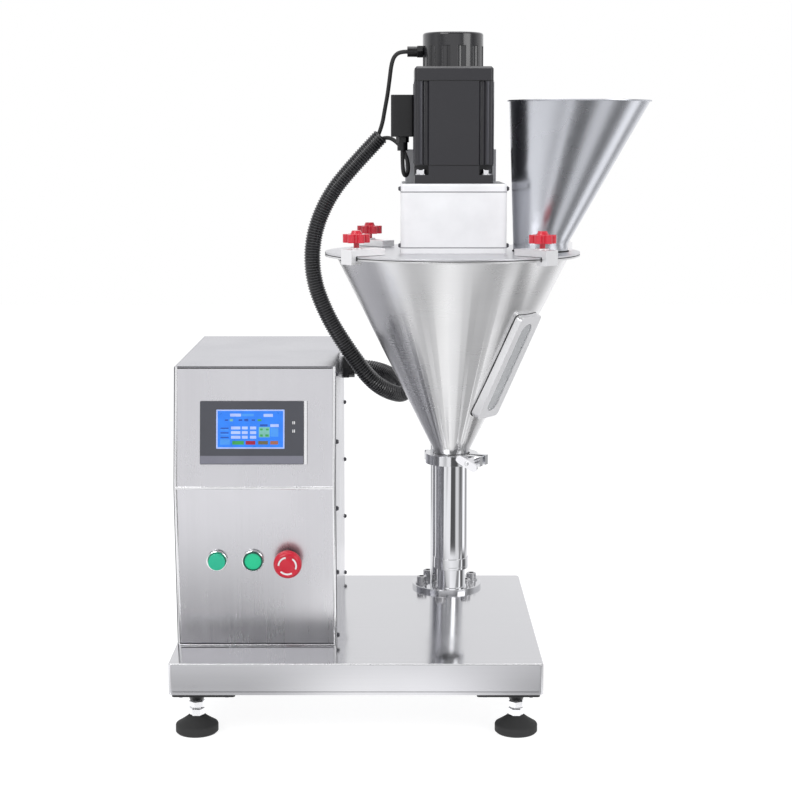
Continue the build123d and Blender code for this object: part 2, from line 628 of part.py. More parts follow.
# Hopper clamps: four C-blocks that hook under the rim flange
bar_low = lid_z + 2 * seat_gap
with BuildPart() as clamps:
    for azimuth in clamp_azimuths:
        a = radians(azimuth)
        clamp_plane = Plane(radial(azimuth, 0, 0), x_dir=(sin(a), -cos(a), 0), z_dir=(-cos(a), -sin(a), 0))
        with BuildSketch(clamp_plane):
            with BuildLine():
                Polyline((clamp_in_r, up(bar_low)), (clamp_out_r - clamp_leg_t, up(bar_low)),
                         (clamp_out_r - clamp_leg_t, up(rim_low - seat_gap)),
                         (clamp_lip_in_r, up(rim_low - seat_gap)),
                         (clamp_lip_in_r, up(rim_low - seat_gap - clamp_lip_t)),
                         (clamp_out_r, up(rim_low - seat_gap - clamp_lip_t)),
                         (clamp_out_r, up(bar_low + clamp_bar_t)),
                         (clamp_in_r, up(bar_low + clamp_bar_t)), close=True)
            make_face()
        extrude(amount=clamp_w / 2, both=True)
        screw_x, screw_y, _ = radial(azimuth, clamp_screw_at, 0)
        with BuildSketch(Plane.XY.offset(up(bar_low + clamp_bar_t))):
            with Locations((screw_x, screw_y)):
                Circle(clamp_boss_r)
        extrude(amount=clamp_boss_h)
        with BuildSketch(Plane.XY.offset(up(bar_low))):
            with Locations((screw_x, screw_y)):
                Circle(press_pocket_r)
        extrude(amount=press_pocket_h, mode=Mode.SUBTRACT)
        with BuildSketch(Plane.XY.offset(up(bar_low))):
            with Locations((screw_x, screw_y)):
                Circle(clamp_screw_r + run_gap)
        extrude(amount=clamp_bar_t + clamp_boss_h, mode=Mode.SUBTRACT)
export(clamps, "clamp_blocks")

# Each clamp's pressure pad, and its star knob with the screw
knob_low = bar_low + clamp_bar_t + clamp_boss_h + knob_lift
for clamp_name, azimuth in zip(clamp_names, clamp_azimuths):
    screw_x, screw_y, _ = radial(azimuth, clamp_screw_at, 0)
    with BuildPart() as press_pad:
        with BuildSketch(Plane.XY.offset(up(lid_z))):
            with Locations((screw_x, screw_y)):
                Circle(press_pad_r)
        extrude(amount=press_pad_t)
    export(press_pad, f"clamp_pad_{clamp_name}")
    with BuildPart() as knob:
        with BuildSketch(Plane.XY.offset(up(lid_z + press_pad_t))):
            with Locations((screw_x, screw_y)):
                Circle(clamp_screw_r)
        extrude(amount=knob_low + knob_h - lid_z - press_pad_t)
        with BuildSketch(Plane.XY.offset(up(knob_low))):
            with Locations((screw_x, screw_y)):
                Circle(knob_core_r)
                with PolarLocations(knob_lobe_at, knob_lobes):
                    Circle(knob_lobe_r)
        extrude(amount=knob_h)
        with BuildSketch(Plane.XY.offset(up(knob_low + knob_h))):
            with Locations((screw_x, screw_y)):
                Circle(knob_hub_r)
        extrude(amount=knob_hub_h, taper=knob_hub_taper)
    export(knob, f"clamp_knob_{clamp_name}")

# Feed hopper: a leaning funnel on a round neck, open right through
feed_low = lid_z + feed_seal_t
feed_top_x = axis_x + (feed_top_left + spout_reach) / 2
feed_half_w = (spout_reach - feed_top_left) / 2
feed_rim_low = feed_top_z - feed_rim_t
feed_bore_r = feed_spigot_r - feed_wall
feed_mouth = (feed_half_w - feed_rim_w - feed_wall, feed_half_depth - feed_rim_w - feed_wall)
with BuildPart() as feed:
    with BuildSketch(Plane.XY.offset(up(feed_low + feed_neck_h))):
        with Locations((feed_x, axis_y)):
            Circle(feed_neck_r)
    with BuildSketch(Plane.XY.offset(up(feed_rim_low))):
        with Locations((feed_top_x, axis_y)):
            Ellipse(feed_half_w - feed_rim_w, feed_half_depth - feed_rim_w)
    loft()
    with BuildSketch(Plane.XY.offset(up(feed_rim_low))):
        with Locations((feed_top_x, axis_y)):
            Ellipse(feed_half_w, feed_half_depth)
    extrude(amount=feed_rim_t)
    with BuildSketch(Plane.XY.offset(up(feed_low))):
        with Locations((feed_x, axis_y)):
            Circle(feed_neck_r)
    extrude(amount=feed_neck_h)
    with BuildSketch(Plane.XY.offset(up(feed_low))):
        with Locations((feed_x, axis_y)):
            Circle(feed_spigot_r)
    extrude(amount=-feed_spigot_l)
    with BuildSketch(Plane.XY.offset(up(feed_low + feed_neck_h))):
        with Locations((feed_x, axis_y)):
            Circle(feed_bore_r)
    with BuildSketch(Plane.XY.offset(up(feed_rim_low))):
        with Locations((feed_top_x, axis_y)):
            Ellipse(*feed_mouth)
    loft(mode=Mode.SUBTRACT)
    with BuildSketch(Plane.XY.offset(up(feed_rim_low))):
        with Locations((feed_top_x, axis_y)):
            Ellipse(*feed_mouth)
    extrude(amount=feed_rim_t, mode=Mode.SUBTRACT)
    with BuildSketch(Plane.XY.offset(up(feed_low - feed_spigot_l))):
        with Locations((feed_x, axis_y)):
            Circle(feed_bore_r)
    extrude(amount=feed_spigot_l + feed_neck_h, mode=Mode.SUBTRACT)
export(feed, "feed_hopper")

# Drive housing: base plate, open box and top plate
house_y = axis_y + (house_back - house_front) / 2
house_d = house_back + house_front
house_low = lid_z + house_base_t
house_high = lid_z + house_h - house_top_t
lay_y = axis_y + gear_module * (pinion_teeth + wheel_teeth) / 2
with BuildPart() as house_base:
    with BuildSketch(Plane.XY.offset(up(lid_z))):
        with Locations((axis_x, house_y)):
            RectangleRounded(house_w, house_d, house_corner_r)
        with Locations((axis_x, axis_y)):
            Circle(sleeve_bearing_r, mode=Mode.SUBTRACT)
    extrude(amount=house_base_t)
export(house_base, "housing_base")

with BuildPart() as housing:
    with BuildSketch(Plane.XY.offset(up(house_low))):
        with Locations((axis_x, house_y)):
            RectangleRounded(house_w, house_d, house_corner_r)
            RectangleRounded(house_w - 2 * house_wall, house_d - 2 * house_wall,
                             house_corner_r - house_wall / 2, mode=Mode.SUBTRACT)
    extrude(amount=house_high - house_low)
export(housing, "drive_housing")

with BuildPart() as house_top:
    with BuildSketch(Plane.XY.offset(up(house_high))):
        with Locations((axis_x, house_y)):
            RectangleRounded(house_w, house_d, house_corner_r)
    extrude(amount=house_top_t)
    fillet(house_top.faces().sort_by(Axis.Z)[-1].edges().filter_by(Axis.Y), house_top_t / 3)
    with BuildSketch(Plane.XY.offset(up(house_high))):
        with Locations((axis_x, axis_y)):
            Circle(coupling_r + house_wall / 2)
    extrude(amount=house_top_t, mode=Mode.SUBTRACT)
export(house_top, "housing_top")

# Bearings: the sleeve's in the base plate, the layshaft's at both ends
with BuildPart() as bearings:
    with BuildSketch(Plane.XY.offset(up(lid_z))):
        with Locations((axis_x, axis_y)):
            Circle(sleeve_bearing_r - fit_gap)
            Circle(sleeve_r + run_gap, mode=Mode.SUBTRACT)
    extrude(amount=house_base_t)
    for bearing_z in (house_low, house_high - bearing_w):
        with BuildSketch(Plane.XY.offset(up(bearing_z))):
            with Locations((axis_x, lay_y)):
                Circle(bearing_outer_r)
                Circle(lay_r + run_gap, mode=Mode.SUBTRACT)
        extrude(amount=bearing_w)
export(bearings, "bearings")


def involute(angle):
    """Involute function of a pressure angle in radians."""
    return tan(angle) - angle


def gear_points(teeth, first_tooth, centre):
    """Outline of a spur gear with involute flanks, its first tooth at an angle in degrees."""
    pitch_r = gear_module * teeth / 2
    flank = radians(pressure_angle)
    base_r = pitch_r * cos(flank)
    root_r = pitch_r - dedendum_share * gear_module
    tip_r = pitch_r + gear_module
    half_pitch_tooth = (pi * gear_module / 2 - gear_backlash) / 2 / pitch_r

    def half_angle(r):
        """Half the angle that a tooth takes up at a radius."""
        if r <= base_r:
            return half_pitch_tooth + involute(flank)
        return half_pitch_tooth + involute(flank) - involute(acos(base_r / r))

    outline = []
    for i in range(teeth):
        middle = radians(first_tooth) + 2 * pi * i / teeth
        side = [(r, half_angle(r)) for r in (root_r, pitch_r, tip_r)]
        for r, half in side:
            outline.append((centre[0] + r * cos(middle - half), centre[1] + r * sin(middle - half)))
        for r, half in reversed(side):
            outline.append((centre[0] + r * cos(middle + half), centre[1] + r * sin(middle + half)))
    return outline


# Layshaft with the wheel and the second pinion
main_centre, lay_centre = (axis_x, axis_y), (axis_x, lay_y)
with BuildPart() as lay:
    with BuildSketch(Plane.XY.offset(up(house_low + seat_gap))):
        with Locations(lay_centre):
            Circle(lay_r)
    extrude(amount=house_high - house_low - 2 * seat_gap)
    with BuildSketch(Plane.XY.offset(up(lower_mesh_z))):
        with BuildLine():
            Polyline(*gear_points(second_teeth, -90, lay_centre), close=True)
        make_face()
    extrude(amount=gear_face)
    with BuildSketch(Plane.XY.offset(up(lower_mesh_z + gear_face))):
        with Locations(lay_centre):
            Circle(lay_hub_r)
    extrude(amount=upper_mesh_z - lower_mesh_z - gear_face)
    with BuildSketch(Plane.XY.offset(up(upper_mesh_z))):
        with BuildLine():
            Polyline(*gear_points(wheel_teeth, -90 + 180 / wheel_teeth, lay_centre), close=True)
        make_face()
    extrude(amount=gear_face)
export(lay, "layshaft")

# Motor shaft, its coupling and the drive pinion on the auger shaft's top
coupling_low = upper_mesh_z + gear_face + seat_gap
motor_low = lid_z + house_h
with BuildPart() as drive_shaft:
    with BuildSketch(Plane.XY.offset(up(upper_mesh_z))):
        with BuildLine():
            Polyline(*gear_points(pinion_teeth, 90, main_centre), close=True)
        make_face()
        with Locations(main_centre):
            Circle(shaft_r + fit_gap, mode=Mode.SUBTRACT)
    extrude(amount=gear_face)
    with BuildSketch(Plane.XY.offset(up(coupling_low))):
        with Locations(main_centre):
            Circle(coupling_r)
            Circle(shaft_r + fit_gap, mode=Mode.SUBTRACT)
    extrude(amount=shaft_top - coupling_low)
    with BuildSketch(Plane.XY.offset(up(shaft_top))):
        with Locations(main_centre):
            Circle(coupling_r)
    extrude(amount=coupling_web)
    with BuildSketch(Plane.XY.offset(up(shaft_top + coupling_web))):
        with Locations(main_centre):
            Circle(motor_shaft_r)
    extrude(amount=motor_low - shaft_top - coupling_web - seat_gap)
export(drive_shaft, "drive_shaft")

# Auger: shaft with a pointed tip and one helical flight
flight_r = tube_bore_r - flight_gap
with BuildPart() as auger:
    with BuildSketch(Plane.XY.offset(up(auger_low))):
        with Locations(main_centre):
            Circle(shaft_r)
    extrude(amount=shaft_top - auger_low)
    with BuildSketch(Plane.XY.offset(up(auger_low))):
        with Locations(main_centre):
            Circle(shaft_r)
    extrude(amount=-auger_tip_h, taper=auger_tip_taper)
    with BuildLine() as helix:
        Helix(pitch=flight_pitch, height=flight_top - auger_low, radius=(flight_r + shaft_r) / 2,
              center=(axis_x, axis_y, up(auger_low)))
    with BuildSketch(Plane(helix.line @ 0, x_dir=(1, 0, 0), z_dir=helix.line % 0)):
        Rectangle(flight_r - shaft_r + 2 * run_gap, flight_t)
    sweep(path=helix.line, is_frenet=True)
export(auger, "auger")

# Agitator: sleeve with its gear, and two blades that sweep the cone
blade_far_r = cone_at(blade_high) - wall_r - blade_gap
blade_near_r = cone_at(blade_low) - wall_r - blade_gap
with BuildPart() as agitator:
    with BuildSketch(Plane.XY.offset(up(sleeve_low))):
        with Locations(main_centre):
            Circle(sleeve_r)
    extrude(amount=lower_mesh_z + gear_face - sleeve_low)
    with BuildSketch(Plane.XY.offset(up(lower_mesh_z))):
        with BuildLine():
            Polyline(*gear_points(sleeve_teeth, 90 + 180 / sleeve_teeth, main_centre), close=True)
        make_face()
    extrude(amount=gear_face)
    with BuildSketch(Plane.XY.offset(up(blade_low))):
        with Locations(main_centre):
            Circle(blade_hub_r)
    extrude(amount=blade_hub_h)
    for side_sign in (-1, 1):
        blade_plane = Plane((axis_x, axis_y, 0), x_dir=(side_sign, 0, 0), z_dir=(0, -side_sign, 0))
        with BuildSketch(blade_plane):
            with BuildLine():
                Polyline((0, up(blade_low)), (blade_near_r, up(blade_low)), (blade_far_r, up(blade_high)),
                         (0, up(blade_high)), (0, up(blade_high - blade_w)),
                         (blade_far_r - blade_w - blade_w, up(blade_high - blade_w)),
                         (blade_near_r - blade_w, up(blade_low + blade_hub_h)),
                         (0, up(blade_low + blade_hub_h)), close=True)
            make_face()
        extrude(amount=blade_t / 2, both=True)
    with BuildSketch(Plane.XY.offset(up(blade_low))):
        with Locations(main_centre):
            Circle(shaft_r + run_gap)
    extrude(amount=lower_mesh_z + gear_face - blade_low, mode=Mode.SUBTRACT)
export(agitator, "agitator")

# Motor: flange with corner pockets, grooved body and square end bell
with BuildPart() as motor:
    with BuildSketch(Plane.XY.offset(up(motor_low))):
        with Locations(main_centre):
            RectangleRounded(motor_w, motor_w, motor_corner_r)
    extrude(amount=motor_flange_t)
    with BuildSketch(Plane.XY.offset(up(motor_low + motor_flange_t))):
        with Locations(main_centre):
            Rectangle(motor_w, motor_w)
            with GridLocations(motor_w, motor_w, 2, 2):
                Rectangle(motor_pocket * 2, motor_pocket * 2, mode=Mode.SUBTRACT)
    extrude(amount=motor_step_z - motor_low - motor_flange_t)
    with BuildSketch(Plane.XY.offset(up(motor_step_z))):
        with Locations(main_centre):
            RectangleRounded(motor_w, motor_w, motor_corner_r)
            with GridLocations(motor_w, 2 * motor_groove_at, 2, 2):
                Circle(motor_groove_r, mode=Mode.SUBTRACT)
            with GridLocations(2 * motor_groove_at, motor_w, 2, 2):
                Circle(motor_groove_r, mode=Mode.SUBTRACT)
    extrude(amount=motor_seam_z - motor_step_z)
    with BuildSketch(Plane.XY.offset(up(motor_seam_z))):
        with Locations(main_centre):
            RectangleRounded(motor_w, motor_w, motor_corner_r)
    extrude(amount=motor_top_z - motor_seam_z)
    chamfer(motor.faces().sort_by(Axis.Z)[-1].edges(), motor_edge)
export(motor, "motor")

with BuildPart() as motor_cap:
    with BuildSketch(Plane.XY.offset(up(motor_top_z))):
        with Locations(main_centre):
            Circle(motor_cap_r)
            with PolarLocations(motor_cap_r + motor_flute_r - motor_flute_depth, motor_flute_count,
                                start_angle=motor_flute_start):
                Circle(motor_flute_r, mode=Mode.SUBTRACT)
    extrude(amount=motor_cap_flute_z - motor_top_z)
    with BuildSketch(Plane.XY.offset(up(motor_cap_flute_z))):
        with Locations(main_centre):
            Circle(motor_cap_r)
    extrude(amount=motor_cap_top_z - motor_cap_flute_z)
    fillet(motor_cap.faces().sort_by(Axis.Z)[-1].edges(), motor_cap_round)
export(motor_cap, "motor_cap")

# Terminal box on the motor's left side
terminal_x = axis_x - motor_w / 2 - terminal_w / 2
with BuildPart() as terminal:
    with BuildSketch(Plane.XY.offset(up(terminal_low))):
        with Locations((terminal_x, axis_y)):
            RectangleRounded(terminal_w, terminal_d, terminal_r)
    extrude(amount=terminal_high - terminal_low)
export(terminal, "terminal_box")

# Cable glands: hexagon and round nut on one axis
cap_gland_plane = Plane((axis_x - motor_cap_r, axis_y, up(cap_gland_z)), x_dir=(0, 1, 0), z_dir=(-1, 0, 0))
box_gland_plane = Plane((cab_right, base_front + box_gland_y, up(box_gland_z)),
                        x_dir=(0, 1, 0), z_dir=(1, 0, 0))
terminal_gland_plane = Plane((terminal_x, axis_y, up(terminal_low)), x_dir=(1, 0, 0), z_dir=(0, 0, -1))
with BuildPart() as glands:
    for plane, nut_r, nut_l, tip_r, total in (
            (cap_gland_plane, gland_nut_r, gland_nut_l, gland_r, cap_gland_reach - motor_cap_r),
            (terminal_gland_plane, gland_nut_r, gland_nut_l, gland_r, gland_l),
            (box_gland_plane, box_gland_nut_r, box_gland_nut_l, box_gland_r, box_gland_l)):
        with BuildSketch(plane):
            RegularPolygon(nut_r, 6)
        extrude(amount=nut_l)
        with BuildSketch(plane.offset(nut_l)):
            Circle(tip_r)
        extrude(amount=total - nut_l)
export(glands, "cable_glands")

# Head bracket: face plate behind the housing and two arms back to the yoke
yoke_front = column_y - yoke_d / 2
plate_y = axis_y + house_back
with BuildPart() as bracket:
    with BuildSketch(Plane((axis_x, plate_y, 0), x_dir=(1, 0, 0), z_dir=(0, -1, 0))):
        with Locations((0, up((bracket_low + bracket_high) / 2))):
            Rectangle(bracket_w, bracket_high - bracket_low)
    extrude(amount=-bracket_t)
    with BuildSketch(Plane.XY.offset(up(arm_low))):
        with Locations((axis_x, (plate_y + bracket_t + yoke_front) / 2)):
            with GridLocations(arm_gap, 0, 2, 1):
                Rectangle(arm_t, yoke_front - plate_y - bracket_t)
    extrude(amount=arm_high - arm_low)
export(bracket, "head_bracket")

with BuildPart() as yoke:
    with BuildSketch(Plane.XY.offset(up(yoke_low))):
        with Locations((axis_x, column_y)):
            Rectangle(yoke_w, yoke_d)
            Circle(column_r + fit_gap, mode=Mode.SUBTRACT)
        with Locations((axis_x, column_y + yoke_d / 2)):
            Rectangle(yoke_slot, yoke_d, mode=Mode.SUBTRACT)
    extrude(amount=yoke_high - yoke_low)
export(yoke, "column_yoke")

# Band clamp round the ferrules: two grooved jaws with ears, and a hinge pin
band_mid = ferrule_face_z - ferrule_gap / 2
band_low = band_mid - band_h / 2
band_dir = radians(band_azimuth)
ear_x, ear_y, _ = radial(band_azimuth, (band_groove_r + band_ear_out) / 2, 0)
hinge_x, hinge_y, _ = radial(band_azimuth + 180, band_r + band_pin_r / 2, 0)
ear_turn = band_azimuth - 90
groove_h = 2 * ferrule_t + ferrule_gap + 2 * seat_gap
with BuildPart() as band:
    with BuildSketch(Plane.XY.offset(up(band_low))):
        with Locations((axis_x, axis_y)):
            Circle(band_r)
        with Locations((ear_x, ear_y)):
            Rectangle(band_ear_out - band_groove_r, band_split + 2 * band_ear_t, rotation=ear_turn)
    extrude(amount=band_h)
    with BuildSketch(section):
        with BuildLine():
            Polyline((0, up(band_low)), (band_inner_r, up(band_low)),
                     (band_inner_r, up(band_mid - groove_h / 2)), (band_groove_r, up(band_mid - groove_h / 4)),
                     (band_groove_r, up(band_mid + groove_h / 4)), (band_inner_r, up(band_mid + groove_h / 2)),
                     (band_inner_r, up(band_low + band_h)), (0, up(band_low + band_h)), close=True)
        make_face()
    revolve(axis=auger_axis, mode=Mode.SUBTRACT)
    with BuildSketch(Plane.XY.offset(up(band_low))):
        with Locations((ear_x, ear_y)):
            Rectangle(2 * (band_ear_out - band_inner_r), band_split, rotation=ear_turn)
        with Locations((hinge_x, hinge_y)):
            Rectangle(2 * (band_r - band_inner_r + band_pin_r), seat_gap, rotation=ear_turn)
            Circle(band_pin_r + fit_gap)
    extrude(amount=band_h, mode=Mode.SUBTRACT)
    with BuildSketch(Plane.XY.offset(up(band_low))):
        with Locations((hinge_x, hinge_y)):
            Circle(band_pin_r)
    extrude(amount=band_h)
    band_bolt_plane = Plane((ear_x, ear_y, up(band_mid)), x_dir=(0, 0, 1),
                            z_dir=(-cos(band_dir), -sin(band_dir), 0))
    with BuildSketch(band_bolt_plane.offset(-band_split / 2 - band_ear_t)):
        Circle(band_bolt_r)
    extrude(amount=band_bolt_l)
export(band, "band_clamp")

# Wing nut on the band clamp's bolt
with BuildPart() as wing:
    with BuildSketch(band_bolt_plane.offset(band_split / 2 + band_ear_t + seat_gap)):
        Circle(wing_hub_r)
    extrude(amount=wing_hub_h)
    with BuildSketch(band_bolt_plane.offset(band_split / 2 + band_ear_t + seat_gap + wing_hub_h - wing_t)):
        SlotOverall(2 * wing_span, wing_h, rotation=90 - wing_tilt)
    extrude(amount=wing_t)
    with BuildSketch(band_bolt_plane.offset(band_split / 2 + band_ear_t)):
        Circle(band_bolt_r + run_gap)
    extrude(amount=wing_hub_h + overrun, mode=Mode.SUBTRACT)
export(wing, "wing_nut")

# Screws and bolts: column flange, motor corners, cabinet covers and yoke
with BuildPart() as fasteners:
    with BuildSketch(Plane.XY.offset(deck_z + flange_t)):
        with Locations((axis_x, column_y)):
            with PolarLocations(flange_bolt_pcd / 2, flange_bolt_count, start_angle=90 / flange_bolt_count):
                Circle(bolt_washer_r)
    extrude(amount=bolt_washer_t)
    with BuildSketch(Plane.XY.offset(deck_z + flange_t + bolt_washer_t)):
        with Locations((axis_x, column_y)):
            with PolarLocations(flange_bolt_pcd / 2, flange_bolt_count, start_angle=90 / flange_bolt_count):
                Circle(bolt_head_r)
    extrude(amount=bolt_head_h)
    with BuildSketch(Plane.XY.offset(deck_z + flange_t + bolt_washer_t + bolt_head_h)):
        with Locations((axis_x, column_y)):
            with PolarLocations(flange_bolt_pcd / 2, flange_bolt_count, start_angle=90 / flange_bolt_count):
                RegularPolygon(bolt_socket_af / 2, 6, major_radius=False)
    extrude(amount=-bolt_socket_depth, mode=Mode.SUBTRACT)
    with BuildSketch(Plane.XY.offset(deck_z + flange_t)):
        with Locations((axis_x, column_y)):
            with PolarLocations(flange_bolt_pcd / 2, flange_bolt_count, start_angle=90 / flange_bolt_count):
                Circle(bolt_r)
    extrude(amount=-flange_t - base_sheet)
    with BuildSketch(Plane.XY.offset(up(motor_low + motor_flange_t))):
        with Locations(main_centre):
            with GridLocations(2 * motor_bolt_at, 2 * motor_bolt_at, 2, 2):
                Circle(motor_bolt_head_r)
    extrude(amount=motor_bolt_head_h)
    side_screw_span_z = cab_h - 2 * side_screw_inset
    for side_x, out in ((cab_left, -1), (cab_right, 1)):
        side_plane = Plane((side_x, 0, 0), x_dir=(0, out, 0), z_dir=(out, 0, 0))
        for i in range(side_screws):
            level = side_screw_inset + side_screw_span_z * i / (side_screws - 1)
            if level < cab_seam_z:
                front_y = cab_bottom_y + (cab_seam_y - cab_bottom_y) * level / cab_seam_z
            else:
                front_y = cab_seam_y + (cab_top_y - cab_seam_y) * (level - cab_seam_z) / (cab_h - cab_seam_z)
            with BuildSketch(side_plane):
                with Locations((out * (base_front + front_y + side_screw_inset), up(level)),
                               (out * (base_front + cab_back_y - side_screw_inset), up(level))):
                    Circle(screw_r)
            extrude(amount=screw_h)
export(fasteners, "screws_and_bolts")


def hose(points, radius, name):
    """A round hose along straight runs joined by tangent arcs, each as large as its runs allow."""
    runs = [Vector(*b) - Vector(*a) for a, b in zip(points, points[1:])]
    radii = []
    for one, two in zip(runs, runs[1:]):
        half_turn = radians(one.get_angle(two)) / 2
        radii.append(bend_share * min(one.length, two.length) / tan(half_turn))
    with BuildPart() as tube_part:
        with BuildLine():
            route = FilletPolyline(*points, radius=radii)
        with BuildSketch(Plane(route @ 0, z_dir=route % 0)):
            Circle(radius)
        sweep(path=route)
    ratio = tube_part.part.volume / (pi * radius ** 2 * route.length)
    print(name, "length", round(route.length, 1), "bends", [round(r) for r in radii], "ratio", round(ratio, 3))
    export(tube_part, name)


# The conduit leaves the cabinet, turns back behind the hopper and rises beside it
conduit_points = [
    (-94.0, 192.0, 466.0), (-58.0, 192.0, 466.0), (-14.0, 145.0, 446.0), (-14.0, 79.0, 434.0),
    (-59.0, 32.0, 458.0), (-97.0, 22.0, 511.0), (-131.0, 18.0, 566.0), (-153.0, 16.0, 625.0),
    (-152.0, 15.0, 687.0), (-129.0, 13.0, 745.0), (-91.0, 11.0, 792.0), (-49.5, 10.0, 835.4)]
hose(conduit_points, conduit_r, "conduit")

# Two cables leave the conduit's open end, one to the motor's cap and one to its terminal box
encoder_cable_points = [
    (-55.0, 10.0, 833.0), (-48.0, 9.0, 850.0), (-44.0, 1.0, 873.0), (-39.5, -13.0, 896.0),
    (-36.5, -27.0, 918.0), (-34.0, -37.0, 938.0), (-30.0, -40.0, 949.5), (-21.5, -40.0, 956.0),
    (-11.0, -40.0, 956.0)]
power_cable_points = [
    (-50.0, 10.0, 831.0), (-40.0, 9.0, 834.0), (-29.0, 2.0, 829.0), (-18.5, -6.0, 818.0),
    (-11.5, -12.0, 804.0), (-9.0, -18.0, 790.0), (-10.5, -25.0, 779.5), (-14.5, -33.0, 777.0),
    (-17.85, -40.0, 787.0), (-17.85, -40.0, 814.0)]
hose(encoder_cable_points, cable_r, "encoder_cable")
hose(power_cable_points, cable_r, "power_cable")
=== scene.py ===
"""Looks of the tabletop auger powder filler: finishes, fine pieces, camera and lamps.

Every length is in metres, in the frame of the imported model: +Z up, the operator at -Y.
"""
from __future__ import annotations

import json
import logging
import math
from collections.abc import Iterable, Sequence
from dataclasses import dataclass, field
from enum import Enum
from typing import Any

import bmesh
import bpy
from mathutils import Matrix, Vector

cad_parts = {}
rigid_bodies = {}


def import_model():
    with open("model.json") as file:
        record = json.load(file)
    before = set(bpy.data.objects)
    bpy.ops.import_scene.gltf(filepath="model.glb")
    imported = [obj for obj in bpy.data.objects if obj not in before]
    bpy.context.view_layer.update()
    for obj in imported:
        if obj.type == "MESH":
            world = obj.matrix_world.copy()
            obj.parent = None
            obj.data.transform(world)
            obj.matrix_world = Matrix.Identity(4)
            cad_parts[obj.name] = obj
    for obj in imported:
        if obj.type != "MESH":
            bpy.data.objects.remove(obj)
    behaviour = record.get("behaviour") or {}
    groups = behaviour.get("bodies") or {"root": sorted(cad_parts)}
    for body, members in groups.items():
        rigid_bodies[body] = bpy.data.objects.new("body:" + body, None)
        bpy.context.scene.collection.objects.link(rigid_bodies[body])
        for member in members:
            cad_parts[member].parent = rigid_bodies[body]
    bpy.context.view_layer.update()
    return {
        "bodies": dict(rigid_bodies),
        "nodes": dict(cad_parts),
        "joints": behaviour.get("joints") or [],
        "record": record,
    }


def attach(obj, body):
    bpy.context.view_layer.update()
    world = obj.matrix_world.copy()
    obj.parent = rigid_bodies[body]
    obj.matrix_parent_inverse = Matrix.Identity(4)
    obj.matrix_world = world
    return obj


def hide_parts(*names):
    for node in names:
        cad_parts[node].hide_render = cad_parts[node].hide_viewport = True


log = logging.getLogger("powder_filler")

Point = tuple[float, float, float]
Colour = tuple[float, float, float]
Flat = tuple[float, float]
Stops = tuple[Flat, ...]
Place = tuple[Sequence[float], Sequence[float]]

MM = 0.001
AXIS_X, AXIS_Y = 0.055, -0.040
DECK_Z = 0.109
FORWARD = (0, -1, 0)


def mm(*values: float) -> tuple[float, ...]:
    """Millimetres turned into metres."""
    return tuple(value * MM for value in values)


def up(height_mm: float) -> float:
    """World height of a level given in millimetres above the deck."""
    return DECK_Z + height_mm * MM


class Body(str, Enum):
    """The moving bodies that the scene's own pieces ride on."""

    FRAME = "frame"
    DRIVE = "auger_drive"
    LAYSHAFT = "layshaft"
    AGITATOR = "agitator"
    START = "start_button"
    STOP = "stop_button"
    PLUNGER = "stop_plunger"
    MUSHROOM = "stop_mushroom"
    WING = "wing_nut"
    FEED = "feed_hopper"


class Brushing(Enum):
    """How far the brushing lines are drawn out along X, Y and Z; a high number is across the lines."""

    ALONG_X = (5.0, 600.0, 600.0)
    ALONG_Y = (600.0, 5.0, 600.0)
    ALONG_Z = (300.0, 300.0, 3.0)
    UPRIGHT = (340.0, 3.0, 3.0)
    ROUND_Z = (4.0, 4.0, 420.0)


class Tree:
    """A node tree under construction, with short calls that add and join its nodes."""

    def __init__(self, tree: bpy.types.NodeTree) -> None:
        """Keeps the tree.

        Args:
            tree: The shader or geometry tree to fill.
        """
        self.tree = tree

    def node(self, kind: str, values: dict[Any, Any] | None = None, **settings: Any) -> bpy.types.Node:
        """Adds a node.

        Args:
            kind: The node's type name.
            values: Sockets by name or number, each with a value or the socket that feeds it.
            **settings: Properties of the node, such as its operation.

        Returns:
            The new node.
        """
        made = self.tree.nodes.new(kind)
        for name, value in settings.items():
            setattr(made, name, value)
        for key, value in (values or {}).items():
            by_name = (one for one in made.inputs if one.name == key)
            socket = made.inputs[key] if isinstance(key, int) else next(by_name)
            if isinstance(value, bpy.types.NodeSocket):
                self.tree.links.new(value, socket)
            else:
                socket.default_value = value
        return made

    def math(self, operation: str, first: Any, second: Any = 0.0) -> bpy.types.NodeSocket:
        """Adds a math node and returns its result."""
        kind = "ShaderNodeMath"
        return self.node(kind, {0: first, 1: second}, operation=operation).outputs[0]

    def blend(self, factor: Any, first: Any, second: Any) -> bpy.types.NodeSocket:
        """Adds a colour mix and returns its result."""
        made = self.node("ShaderNodeMix", data_type="RGBA")
        for key, value in ((0, factor), (6, first), (7, second)):
            if isinstance(value, bpy.types.NodeSocket):
                self.tree.links.new(value, made.inputs[key])
            else:
                made.inputs[key].default_value = value
        return made.outputs[2]

    def span(self, value: Any, low: float, high: float) -> bpy.types.NodeSocket:
        """Maps 0 to 1 onto low to high."""
        made = self.node("ShaderNodeMapRange", {"Value": value, "To Min": low, "To Max": high})
        return made.outputs[0]

    def between(self, value: Any, limits: Flat, curve: str = "LINEAR") -> bpy.types.NodeSocket:
        """Runs from 0 at the first limit to 1 at the second."""
        made = self.node("ShaderNodeMapRange", {"Value": value, "From Min": limits[0], "From Max": limits[1]},
                         interpolation_type=curve)
        return made.outputs[0]


